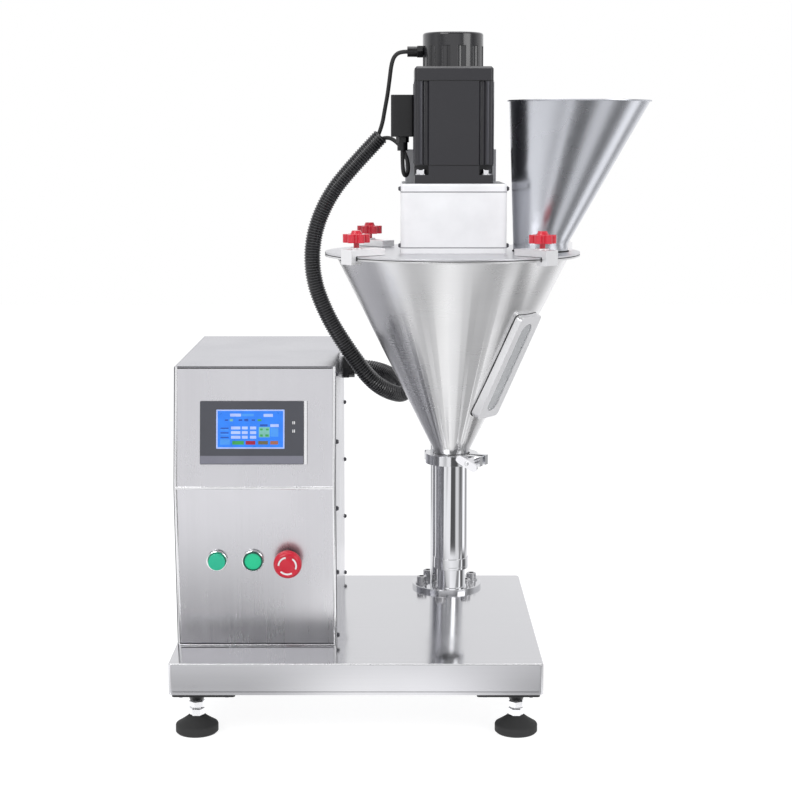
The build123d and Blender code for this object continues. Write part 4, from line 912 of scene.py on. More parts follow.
def pan_screw_tree(finish: Finish) -> GeometryTree:
    """A low round-headed screw with a cross recess."""
    tree = GeometryTree("pan_screw", {"Head Radius": 0.0035, "Head Height": 0.0015}, finish)
    head_r, head_h = tree.size("Head Radius"), tree.size("Head Height")
    low = disc(tree, 24, head_r, tree.math("MULTIPLY", head_r, 0.93), tree.math("MULTIPLY", head_h, 0.5))
    dome = disc(tree, 24, tree.math("MULTIPLY", head_r, 0.93), tree.math("MULTIPLY", head_r, 0.6),
                tree.math("MULTIPLY", head_h, 0.5))
    head = merged(tree, [low, lifted(tree, dome, tree.math("MULTIPLY", head_h, 0.5))])
    for i, (x_share, y_share) in enumerate(((1.1, 0.22), (0.22, 1.1))):
        sides = tree.node("ShaderNodeCombineXYZ", {"X": tree.math("MULTIPLY", head_r, x_share),
                                                   "Y": tree.math("MULTIPLY", head_r, y_share),
                                                   "Z": head_h}).outputs[0]
        bar = tree.node("GeometryNodeMeshCube", {"Size": sides}).outputs[0]
        head = cut(tree, head, lifted(tree, bar, tree.math("MULTIPLY", head_h, 1.05 + 0.002 * i)))
    tree.close(stand_copies(tree, head))
    return tree


def hex_bolt_tree(finish: Finish) -> GeometryTree:
    """A hexagon head on a round washer face."""
    tree = GeometryTree("hex_bolt", {"Head Radius": 0.007, "Head Height": 0.006, "Washer Radius": 0.0085,
                                     "Washer Height": 0.0016}, finish)
    head_r, head_h = tree.size("Head Radius"), tree.size("Head Height")
    washer_r = tree.size("Washer Radius")
    washer = disc(tree, 32, washer_r, washer_r, tree.size("Washer Height"))
    body = disc(tree, 6, head_r, head_r, tree.math("MULTIPLY", head_h, 0.85))
    edge = disc(tree, 6, head_r, tree.math("MULTIPLY", head_r, 0.88), tree.math("MULTIPLY", head_h, 0.15))
    whole = merged(tree, [body, lifted(tree, edge, tree.math("MULTIPLY", head_h, 0.85))])
    shape = merged(tree, [washer, lifted(tree, whole, tree.size("Washer Height"))])
    tree.close(stand_copies(tree, shape), False)
    return tree


def spline(name: str, route_mm: Sequence[Point], radius: float) -> bpy.types.Curve:
    """A smooth cord line over a route's points.

    Args:
        name: The curve's name.
        route_mm: The route's points in millimetres.
        radius: The cord's radius in metres, or zero for a bare line.

    Returns:
        The curve data.
    """
    curve = bpy.data.curves.new(name, "CURVE")
    curve.dimensions = "3D"
    line = curve.splines.new("NURBS")
    line.points.add(len(route_mm) - 1)
    for point, place in zip(line.points, route_mm):
        point.co = (*mm(*place), 1.0)
    line.order_u = 3
    line.use_endpoint_u = True
    line.resolution_u = 12
    curve.bevel_depth = radius
    curve.bevel_resolution = 5
    curve.use_fill_caps = True
    return curve


def spline_points(curve: bpy.types.Curve) -> list[Vector]:
    """Points along a bare cord line, as the line's own mesh gives them."""
    carrier = bpy.data.objects.new("line", curve)
    bpy.context.scene.collection.objects.link(carrier)
    graph = bpy.context.evaluated_depsgraph_get()
    mesh = bpy.data.meshes.new_from_object(carrier.evaluated_get(graph), depsgraph=graph)
    points = [v.co.copy() for v in mesh.vertices]
    bpy.data.objects.remove(carrier)
    bpy.data.meshes.remove(mesh)
    return points


def length_of(points: Sequence[Vector]) -> float:
    """Length of a line of points."""
    return sum((b - a).length for a, b in zip(points, points[1:]))


@dataclass
class Hoses:
    """The corrugated conduit and the two motor cables.

    Attributes:
        conduit_r: Outer radius of the conduit.
        cable_r: Radius of a cable.
        ring_pitch: Distance between two rings.
        groove: Depth of the groove between rings.
        conduit_mm: The conduit's route.
        encoder_mm: Route of the cable to the motor's cap.
        power_mm: Route of the cable to the terminal box.
    """

    conduit_r: float = 0.0125
    cable_r: float = 0.003
    ring_pitch: float = 0.0040
    groove: float = 0.0014
    conduit_mm: list[Point] = field(default_factory=lambda: [
        (-94.0, 192.0, 466.0), (-58.0, 192.0, 466.0), (-14.0, 145.0, 446.0), (-14.0, 79.0, 434.0),
        (-59.0, 32.0, 458.0), (-97.0, 22.0, 511.0), (-131.0, 18.0, 566.0), (-153.0, 16.0, 625.0),
        (-152.0, 15.0, 687.0), (-129.0, 13.0, 745.0), (-91.0, 11.0, 792.0), (-49.5, 10.0, 835.4)])
    encoder_mm: list[Point] = field(default_factory=lambda: [
        (-55.0, 10.0, 833.0), (-48.0, 9.0, 850.0), (-44.0, 1.0, 873.0), (-39.5, -13.0, 896.0),
        (-36.5, -27.0, 918.0), (-34.0, -37.0, 938.0), (-30.0, -40.0, 949.5), (-21.5, -40.0, 956.0),
        (-11.0, -40.0, 956.0)])
    power_mm: list[Point] = field(default_factory=lambda: [
        (-50.0, 10.0, 831.0), (-40.0, 9.0, 834.0), (-29.0, 2.0, 829.0), (-18.5, -6.0, 818.0),
        (-11.5, -12.0, 804.0), (-9.0, -18.0, 790.0), (-10.5, -25.0, 779.5), (-14.5, -33.0, 777.0),
        (-17.85, -40.0, 787.0), (-17.85, -40.0, 814.0)])

    def rings(self) -> GeometryTree:
        """The tree that draws the corrugated wall along a line."""
        tree = GeometryTree("corrugated_wall", {"Radius": self.conduit_r, "Groove": self.groove,
                                                "Step": self.ring_pitch / 4, "Sides": 28}, RIBBED)
        line = tree.node("GeometryNodeMeshToCurve", {0: tree.start.outputs[0]}).outputs[0]
        even = tree.node("GeometryNodeResampleCurve", {"Curve": line, "Length": tree.size("Step")},
                         mode="LENGTH")
        index = tree.node("GeometryNodeInputIndex").outputs[0]
        part = tree.math("MODULO", index, 4.0)
        low = tree.math("LESS_THAN", part, 1.5)
        radius = tree.math("SUBTRACT", tree.size("Radius"), tree.math("MULTIPLY", low, tree.size("Groove")))
        circle = tree.node("GeometryNodeCurvePrimitiveCircle",
                           {"Resolution": tree.size("Sides"), "Radius": 1.0})
        # Marks the crests, which the finish paints paler as a highlight.
        marked = tree.node("GeometryNodeStoreNamedAttribute", {
            "Geometry": even.outputs[0], "Name": "crest", "Value": tree.math("SUBTRACT", 1.0, low)},
            data_type="FLOAT", domain="POINT")
        swept = tree.node("GeometryNodeCurveToMesh", {"Curve": marked.outputs[0], "Scale": radius,
                                                      "Profile Curve": circle.outputs[0]})
        tree.close(swept.outputs[0])
        return tree

    def build(self, frame: dict[str, Any]) -> None:
        """Builds the conduit and the two cables.

        Args:
            frame: What the frame's load returned.
        """
        line = spline_points(spline("conduit_line", self.conduit_mm, 0.0))
        path = bpy.data.meshes.new("conduit_path")
        path.from_pydata(line, [(i, i + 1) for i in range(len(line) - 1)], [])
        wall = self.rings().run("conduit_wall", path)
        conduit = new_piece("conduit_wall", wall, RIBBED, Body.FRAME)
        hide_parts("conduit")
        log.info("conduit %.4f m", length_of(line))
        for name, route, far in (("encoder_cable", self.encoder_mm, "object"),
                                 ("power_cable", self.power_mm, "object")):
            cable = bpy.data.objects.new(f"{name}_lead", spline(f"{name}_lead", route, self.cable_r))
            bpy.context.scene.collection.objects.link(cable)
            cable.data.materials.append(JACKET.material())
            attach(cable, Body.FRAME.value)
            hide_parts(name)
            bare = length_of(spline_points(spline("bare_line", route, 0.0)))
            log.info("%s %.4f m", name, bare)


def display_fields() -> list[tuple[float, float, float, float, Finish, float]]:
    """Edges of each lit field in millimetres (left, low, right, high), its finish and its rise."""
    rise, bright_rise = 0.05, 0.08
    fields = [(-46.0, -25.6, 46.0, 25.6, BLUE_FIELD, 0.02)]
    fields += [(-28.4, 17.7, -13.2, 21.8, PALE_FIELD, rise), (-12.3, 18.0, 4.9, 21.5, SKY_FIELD, rise),
               (18.5, 17.2, 31.7, 21.4, PALE_FIELD, rise), (-36.0, 11.6, -31.0, 13.6, DEEP_FIELD, rise),
               (-29.0, 11.0, -24.5, 14.2, MINT_FIELD, rise), (-16.5, 11.4, -11.5, 13.8, DEEP_FIELD, rise),
               (-8.5, 11.0, -3.0, 14.4, DEEP_FIELD, rise), (1.8, 11.6, 6.6, 13.6, DEEP_FIELD, rise),
               (10.0, 11.2, 15.6, 14.0, LEAF_FIELD, rise)]
    first_row, row_pitch, row_h = 3.7, 6.5, 4.1
    for row in range(3):
        y1 = first_row - row_pitch * row
        y0 = y1 - row_h
        for x0, x1 in ((-27.2, -14.0), (-11.9, -3.7), (-0.4, 8.2)):
            fields.append((x0, y0, x1, y1, PALE_FIELD, rise))
        fields.append((-42.0, y0 + 0.8, -30.5, y1 - 1.6, DEEP_FIELD, rise))
        fields.append((-42.0, y0 - 1.4, -30.5, y0 - 0.2, SKY_FIELD, rise))
    fields += [(11.9, -11.5, 27.2, 3.0, MINT_FIELD, rise), (13.4, 3.8, 24.2, 6.8, DEEP_FIELD, rise),
               (13.6, -1.8, 17.4, 0.8, LEAF_FIELD, bright_rise),
               (22.0, -1.8, 25.8, 0.8, LEAF_FIELD, bright_rise),
               (13.6, -10.4, 17.4, -7.4, LEAF_FIELD, bright_rise),
               (21.0, -10.4, 25.8, -7.4, LEAF_FIELD, bright_rise),
               (28.0, 2.9, 39.9, 7.0, PALE_FIELD, rise), (28.4, -10.6, 39.4, 1.8, SKY_FIELD, rise),
               (-42.4, -21.8, -28.8, -14.4, SKY_FIELD, rise), (-25.5, -21.8, -9.0, -16.5, LEAF_FIELD, rise),
               (-6.6, -21.8, 7.0, -16.5, WINE_FIELD, rise), (11.1, -21.6, 24.7, -16.6, OLIVE_FIELD, rise),
               (28.0, -21.6, 39.0, -16.6, RUST_FIELD, rise)]
    return fields


@dataclass
class Cabinet:
    """Control cabinet with its panels, screen and push-buttons.

    Attributes:
        left: World X of the left side.
        width: Width of the box.
        top_z: World height of the box's top.
        seam: World Y and Z of the seam between the front panels.
        top_y: World Y of the top edge of the front.
        foot_y: World Y of the bottom edge of the front.
        lip, seam_bead, foot_bead: Half width and height of the polished beads along the edges, which carry a
            painted highlight.
        side_joint, cross_joint: Half width and height of the dark lines of painted shade.
        lip_inset: Distance of a lip's middle from the side's outer face.
        joint_offset: Distance of a side line of painted shade from its lip.
        screen_x: World X of the screen's middle.
        screen_rise: World height of the screen over the seam.
        glass_half: Half width and half height of the glass.
        bezel_x: Left and right edge of the bezel, from the glass's middle.
        bezel_drop: How far the bezel's middle lies below the glass's.
        bezel_h: Height of the bezel.
        bezel_t: Thickness of the bezel.
        button_drop: World height of the button row under the seam.
        button_x: Places of the two caps and the mushroom from the panel's middle.
        head_r: Radius of the mushroom head.
        head_lift: Distance of the head's underside from the panel.
        arc_starts: Where each arc on the head starts, in degrees.
        arc_sweep: How far each arc goes, in degrees.
    """

    left: float = -0.340
    width: float = 0.228
    top_z: float = 0.512
    seam: Flat = (-0.1725, 0.343)
    top_y: float = -0.148
    foot_y: float = -0.1512
    lip: Flat = (0.0022, 0.0010)
    seam_bead: Flat = (0.0020, 0.0012)
    foot_bead: Flat = (0.0010, 0.0012)
    side_joint: Flat = (0.0006, 0.0009)
    cross_joint: Flat = (0.0006, 0.0005)
    lip_inset: float = 0.0026
    joint_offset: float = 0.0024
    screen_x: float = -0.232
    screen_rise: float = 0.077
    glass_half: Flat = (0.048, 0.0275)
    bezel_x: Flat = (-0.071, 0.075)
    bezel_drop: float = 0.005
    bezel_h: float = 0.089
    bezel_t: float = 0.005
    button_drop: float = 0.106
    button_x: tuple[float, float, float] = (-0.055, -0.004, 0.046)
    head_r: float = 0.020
    head_lift: float = 0.013
    arc_starts: tuple[float, float, float] = (100.0, 222.0, 337.0)
    arc_sweep: float = 78.0

    def panel_place(self, rise: Vector) -> Matrix:
        """Placement on a front panel: origin at the seam's middle, Y along the panel's rise."""
        normal = Vector((1, 0, 0)).cross(rise.normalized())
        return frame_at((self.left + self.width / 2, *self.seam), normal)

    def upper_rise(self) -> Vector:
        """From the seam to the top edge of the front."""
        return Vector((0, self.top_y - self.seam[0], self.top_z - self.seam[1]))

    def lower_rise(self) -> Vector:
        """From the bottom edge of the front to the seam."""
        return Vector((0, self.seam[0] - self.foot_y, self.seam[1] - DECK_Z))

    def build(self, frame: dict[str, Any]) -> None:
        """Dresses the cabinet."""
        for node, finish in (("upper_panel", FRONT), ("lower_panel", FRONT), ("cabinet_shell", SHEET_Y),
                             ("cabinet_side_left", SHEET_Y), ("cabinet_side_right", SHEET_Y)):
            softened(frame, node, finish, Body.FRAME, 0.0004)
        softened(frame, "control_plate", SATIN, Body.FRAME, 0.0003)
        softened(frame, "servo_drive", BLACK, Body.FRAME, 0.0003)
        self.trims()
        base = self.screen_place()
        self.display(base)
        self.bezel(base)
        self.buttons(frame)

    def upright(self, x: float, bead: Flat) -> bpy.types.Mesh:
        """A bead up the front at one X, from the foot over the seam to the top."""
        proud = 0.0001
        line = [(x, y - proud, z) for y, z in ((self.foot_y, DECK_Z), self.seam, (self.top_y, self.top_z))]
        return piping("upright", line, FORWARD, *bead)

    def crossbar(self, y: float, z: float, bead: Flat) -> bpy.types.Mesh:
        """A bead across the front at one Y and Z."""
        left, right = self.left + self.lip_inset, self.left + self.width - self.lip_inset
        return piping("crossbar", [(left, y, z), (right, y, z)], FORWARD, *bead)

    def trims(self) -> None:
        """Polished beads, brighter than the sheet as a painted highlight, along the sides, the seam and the
        foot, and dark lines of painted shade and painted dark reflection beside them.
        """
        beads, joints = [], []
        for x, side in ((self.left + self.lip_inset, -1), (self.left + self.width - self.lip_inset, 1)):
            # Bright bead, a painted highlight along the side's edge, and beside it a dark line of painted
            # dark reflection.
            beads.append(self.upright(x, self.lip))
            joints.append(self.upright(x + side * self.joint_offset, self.side_joint))
        # Bright beads of painted highlight on the seam and above the foot.
        beads.append(self.crossbar(self.seam[0] - 0.0014, self.seam[1], self.seam_bead))
        beads.append(self.crossbar(self.foot_y - 0.0006, DECK_Z + 0.0010, self.foot_bead))
        # Dark lines of painted shadow under the top edge and above the foot bead.
        joints.append(self.crossbar(self.top_y - 0.0001, self.top_z - 0.0001, self.cross_joint))
        joints.append(self.crossbar(self.foot_y - 0.0003, DECK_Z + 0.0032, self.cross_joint))
        fixed_piece("cabinet_edge_highlights", beads, TRIM_AND_HIGHLIGHT)
        fixed_piece("cabinet_shade_lines", joints, SHADE_LINE)

    def screen_place(self) -> Matrix:
        """Placement of the screen: origin at the glass's middle, Z out of the panel."""
        rise = self.upper_rise()
        lean = math.atan2(rise.y, rise.z)
        middle_x = self.screen_x - (self.left + self.width / 2)
        middle_y = self.screen_rise / math.cos(lean) + self.bezel_drop
        return self.panel_place(rise) @ Matrix.Translation((middle_x, middle_y, 0.0))

    def display(self, base: Matrix) -> None:
        """Glass and lit fields of the touch screen.

        Args:
            base: The screen's placement.
        """
        half_w, half_h = self.glass_half
        face = 0.0047
        glass = slab("glass", rectangle(-half_w, -half_h, half_w, half_h, 0.001), base, 0.0035, face)
        meshes = [with_finish(glass, PALE_FIELD)]
        background_rise, sunk = 0.04, face - 0.0001
        for x0, y0, x1, y1, finish, rise in display_fields():
            corner = 0.0 if rise < background_rise else 0.0004
            outline = rectangle(x0 * MM, y0 * MM, x1 * MM, y1 * MM, corner, 2)
            meshes.append(with_finish(slab("field", outline, base, sunk, face + rise * MM), finish))
        piece = new_piece("display", joined("display", meshes), PALE_FIELD, Body.FRAME)
        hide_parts("screen_glass")

    def bezel(self, base: Matrix) -> None:
        """Bezel with its paler strip and two marks, and beside it a bright strip of painted reflection edged
        by a dark line of painted shadow.

        Args:
            base: The screen's placement.
        """
        half_w, half_h = self.glass_half
        left, right = self.bezel_x
        low = -self.bezel_drop - self.bezel_h / 2
        high = low + self.bezel_h
        outer = rectangle(left, low, right, high, 0.0016, 3)
        inner = rectangle(-half_w, -half_h, half_w, half_h, 0.0006, 3)
        body = ring_slab("bezel", outer, inner, base, 0.0, self.bezel_t)
        piece = new_piece("bezel", with_finish(body, BEZEL), BEZEL, Body.FRAME)
        add_bevel(piece, 0.0006)
        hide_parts("screen_bezel")
        inset, strip_h, sunk, proud = 0.0005, 0.0120, self.bezel_t - 0.0005, self.bezel_t + 0.0002
        outline = rectangle(left + inset, low + 0.0008, right - inset, low + strip_h, 0.0006)
        strip = [with_finish(slab("strip", outline, base, sunk, self.bezel_t + 0.0004), BEZEL_STRIP)]
        mark_x, mark_w, mark_h = 0.0592, 0.0012, 0.0042
        for y in (0.0068, -0.0048):
            for x in (mark_x, mark_x + 0.0022):
                outline = rectangle(x, y, x + mark_w, y + mark_h, 0.0003)
                strip.append(with_finish(slab("mark", outline, base, sunk, proud), MARK_WHITE))
        new_piece("bezel_strip", joined("bezel_strip", strip), BEZEL_STRIP, Body.FRAME)
        # A bright strip of painted reflection beside the bezel, with a dark line of painted shadow at its
        # outer edge.
        under = -0.0004
        bright = rectangle(right + 0.0003, low, right + 0.0043, high, 0.0004)
        shade = rectangle(right + 0.0040, low, right + 0.0050, high, 0.0002)
        painted_reflection = [with_finish(slab("painted_reflection", bright, base, under, 0.0006), TRIM_AND_HIGHLIGHT),
                  with_finish(slab("shade", shade, base, under, 0.0004), SHADE_LINE)]
        new_piece("bezel_painted_reflection", joined("bezel_painted_reflection", painted_reflection), TRIM_AND_HIGHLIGHT, Body.FRAME)

    def buttons(self, frame: dict[str, Any]) -> None:
        """Switch rings, caps and the mushroom head."""
        softened(frame, "switch_bodies", BLACK, Body.FRAME, 0.0004)
        softened(frame, "start_button", GREEN_LIT, Body.START, 0.0003)
        softened(frame, "stop_button", GREEN, Body.STOP, 0.0006, 3)
        softened(frame, "stop_plunger", BLACK, Body.PLUNGER, 0.0003)
        rise = self.lower_rise()
        row = -self.button_drop / math.cos(math.atan2(rise.y, rise.z))
        stop, start, mushroom = (self.panel_place(rise) @ Matrix.Translation((x, row, 0.0))
                                 for x in self.button_x)
        ring = [(0.0124, 0.0012), (0.0146, 0.0012), (0.0150, 0.0030), (0.0148, 0.0058), (0.0140, 0.0064),
                (0.0128, 0.0062), (0.0124, 0.0050)]
        new_piece("stop_ring", with_finish(lathe("stop_ring", ring, stop, 72), TRIM_AND_HIGHLIGHT), TRIM_AND_HIGHLIGHT, Body.FRAME)
        wider = [(r + 0.0006, z - 0.0004) for r, z in ring]
        collar = with_finish(lathe("collar", wider, start, 72), TRIM_AND_HIGHLIGHT)
        inner = [(0.0118, 0.0030), (0.0142, 0.0062), (0.0138, 0.0073), (0.0122, 0.0073), (0.0118, 0.0060)]
        band = with_finish(lathe("band", inner, start, 72), GREEN_DARK)
        new_piece("start_ring", joined("start_ring", [collar, band]), TRIM_AND_HIGHLIGHT, Body.FRAME)
        self.mushroom(mushroom @ Matrix.Translation((0.0, 0.0, self.head_lift)))

    def mushroom(self, head: Matrix) -> None:
        """The stop's head with its three arcs, its underside painted a paler red as painted light.

        Args:
            head: Placement of the head, Z out of the panel.
        """
        r = self.head_r
        profile = [(0.0, 0.0), (r * 0.55, 0.0), (r * 0.90, 0.001), (r, 0.0030), (r, 0.0060),
                   (r * 0.98, 0.0086), (r * 0.93, 0.0108), (r * 0.85, 0.0124), (r * 0.78, 0.0130),
                   (r * 0.73, 0.0124), (r * 0.52, 0.0121), (r * 0.48, 0.0126), (r * 0.42, 0.0130),
                   (0.0, 0.0130)]
        body = lathe("mushroom_head", profile, head, 96, False)
        piece = new_piece("mushroom_head", with_finish(body, RED), RED, Body.MUSHROOM)
        # Painted light: the faces turned to the panel get the paler red, so the shaded underside and its
        # reflection look lighter.
        repaint(piece, UNDERSIDE_PAINTED_LIGHTER, (-1, -1, 0), (1, 1, 1), head.to_3x3() @ Vector((0, 0, -1)))
        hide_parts("stop_mushroom")
        arcs = []
        steps = 8
        for degrees in self.arc_starts:
            begin, sweep = math.radians(degrees), math.radians(self.arc_sweep)
            points = []
            for share, order in ((0.68, range(steps + 1)), (0.56, range(steps, -1, -1))):
                for j in order:
                    turn = begin + sweep * j / steps
                    points.append((r * share * math.cos(turn), r * share * math.sin(turn)))
            arcs.append(with_finish(slab("turn_mark", points, head, 0.0116, 0.0128), MARK_WHITE))
        new_piece("turn_marks", joined("turn_marks", arcs), MARK_WHITE, Body.MUSHROOM)


@dataclass
class Base:
    """Deck tray, its corner plates and the levelling feet.

    Attributes:
        x_span: World X of the tray's left and right side.
        half_d: Half of the tray's depth.
        corner: Radius of the tray's upright corners.
        skirt_z: World height of the skirt's low and high edge.
        skirt_t: Thickness of the skirt.
        edge_bead: Half width and height of the bright beads along the front, a painted highlight.
        edge_z: World heights of those lines.
        plate_half: Half of a corner plate's side.
        plate_z: World height of a plate's low and high face.
        plate_shift: How far a plate's middle lies from its foot, towards the tray's middle.
        foot_places: World X and Y of each foot.
    """

    x_span: Flat = (-0.343, 0.177)
    half_d: float = 0.240
    corner: float = 0.006
    skirt_z: Flat = (0.0650, 0.0700)
    skirt_t: float = 0.0015
    edge_bead: Flat = (0.0011, 0.0011)
    edge_z: Flat = (0.1083, 0.0662)
    plate_half: float = 0.044
    plate_z: Flat = (0.0605, 0.0690)
    plate_shift: Flat = (0.013, 0.010)
    foot_places: dict[str, Flat] = field(default_factory=lambda: {
        "front_left": (-0.308, -0.202), "front_right": (0.142, -0.202),
        "rear_left": (-0.308, 0.202), "rear_right": (0.142, 0.202)})

    def build(self, frame: dict[str, Any]) -> None:
        """Dresses the tray and makes the feet."""
        self.tray(frame)
        self.stands()
        for name, (x, y) in self.foot_places.items():
            self.foot(name, Matrix.Translation((x, y, 0.0)))

    def tray(self, frame: dict[str, Any]) -> None:
        """The tray with its front's own grain, its skirt and the bright beads of painted highlight along its
        front edges.
        """
        tray = softened(frame, "base_tray", DECK, Body.FRAME, 0.0006)
        reach = 0.0005
        repaint(tray, SHEET_X, (-1, -self.half_d - reach, 0.0), (1, -self.half_d + reach, 0.1075), FORWARD)
        left, right = self.x_span
        t = self.skirt_t
        outer = rectangle(left, -self.half_d, right, self.half_d, self.corner)
        inner = rectangle(left + t, -self.half_d + t, right - t, self.half_d - t, self.corner - t)
        skirt = with_finish(ring_slab("skirt", outer, inner, Matrix.Identity(4), *self.skirt_z), SHEET_X)
        end_gap, y = 0.0025, -self.half_d + 0.0012
        edges = []
        # Polished beads, brighter than the tray, a painted highlight along the front's top and bottom edges.
        for z in self.edge_z:
            line = [(left + end_gap, y, z), (right - end_gap, y, z)]
            edges.append(with_finish(piping("edge", line, FORWARD, *self.edge_bead), TRIM_AND_HIGHLIGHT))
        new_piece("tray_edge_highlights", joined("tray_edge_highlights", [skirt, *edges]), TRIM_AND_HIGHLIGHT, Body.FRAME)

    def stands(self) -> None:
        """The corner plates with their bosses."""
        boss = [(0.0, 0.0465), (0.0092, 0.0465), (0.0098, 0.0472), (0.0138, 0.0590), (0.0142, 0.0606),
                (0.0, 0.0606)]
        middle_x = sum(self.x_span) / 2
        half = self.plate_half
        plates = []
        for x, y in self.foot_places.values():
            at_x = x - math.copysign(self.plate_shift[0], x - middle_x)
            at_y = y - math.copysign(self.plate_shift[1], y)
            outline = rectangle(at_x - half, at_y - half, at_x + half, at_y + half, 0.004)
            plates.append(slab("plate", outline, Matrix.Identity(4), *self.plate_z))
            plates.append(lathe("boss", boss, Matrix.Translation((x, y, 0.0)), 48, False))
        stands = fixed_piece("foot_stands", plates, BLACK)
        add_bevel(stands, 0.0004)
        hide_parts("foot_plates")

    def foot(self, name: str, place: Matrix) -> None:
        """A levelling foot: rubber pad, two nuts and a stud.

        Args:
            name: The corner that it stands at.
            place: Its place on the floor.
        """
        pad = [(0.0, 0.0), (0.0280, 0.0), (0.0300, 0.0020), (0.0300, 0.0108), (0.0294, 0.0120),
               (0.0284, 0.0126), (0.0230, 0.0160), (0.0176, 0.0196), (0.0134, 0.0228), (0.0122, 0.0240),
               (0.0108, 0.0243), (0.0, 0.0243)]
        stud = [(0.0, 0.0235), (0.0078, 0.0235), (0.0080, 0.0460), (0.0080, 0.0855), (0.0070, 0.0870),
                (0.0, 0.0870)]
        turned = place @ Matrix.Rotation(0.35, 4, "Z")
        meshes = [with_finish(lathe("pad", pad, place, 72, False), RUBBER),
                  with_finish(self.hexagon(place, 0.0240, 0.0352, 0.0108), TRIM_AND_HIGHLIGHT),
                  with_finish(self.hexagon(turned, 0.0362, 0.0460, 0.0115), TRIM_AND_HIGHLIGHT),
                  with_finish(lathe("stud", stud, place, 40, False), SATIN)]
        foot = new_piece(f"foot_{name}_pad", joined(f"foot_{name}_pad", meshes), RUBBER, f"foot_{name}")
        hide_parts(f"foot_{name}")

    def hexagon(self, place: Matrix, low: float, high: float, r: float) -> bpy.types.Mesh:
        """A hexagon nut with its corners turned off, and its radius over them."""
        build = bmesh.new()
        chamfer, end_share = 0.0012, 0.90
        levels = ((low, end_share), (low + chamfer, 1.0), (high - chamfer, 1.0), (high, end_share))
        turns = [math.pi * k / 3 for k in range(6)]
        rings = []
        for level, share in levels:
            corners = [(r * share * math.cos(turn), r * share * math.sin(turn), level) for turn in turns]
            rings.append([build.verts.new(place @ Vector(corner)) for corner in corners])
        for one, two in zip(rings, rings[1:]):
            for k in range(6):
                build.faces.new((one[k], one[(k + 1) % 6], two[(k + 1) % 6], two[k]))
        build.faces.new(rings[0])
        build.faces.new(rings[-1])
        return mesh_from("nut", build)


@dataclass
class Column:
    """Column pipe, disc flange, yoke and head bracket."""

    def build(self, frame: dict[str, Any]) -> None:
        """Dresses the column."""
        softened(frame, "column", STEEL, Body.FRAME, 0.0005)
        softened(frame, "column_flange", STEEL, Body.FRAME, 0.0004)
        softened(frame, "column_yoke", ALUMINIUM, Body.FRAME, 0.0015, 3)
        softened(frame, "head_bracket", ALUMINIUM, Body.FRAME, 0.0008)


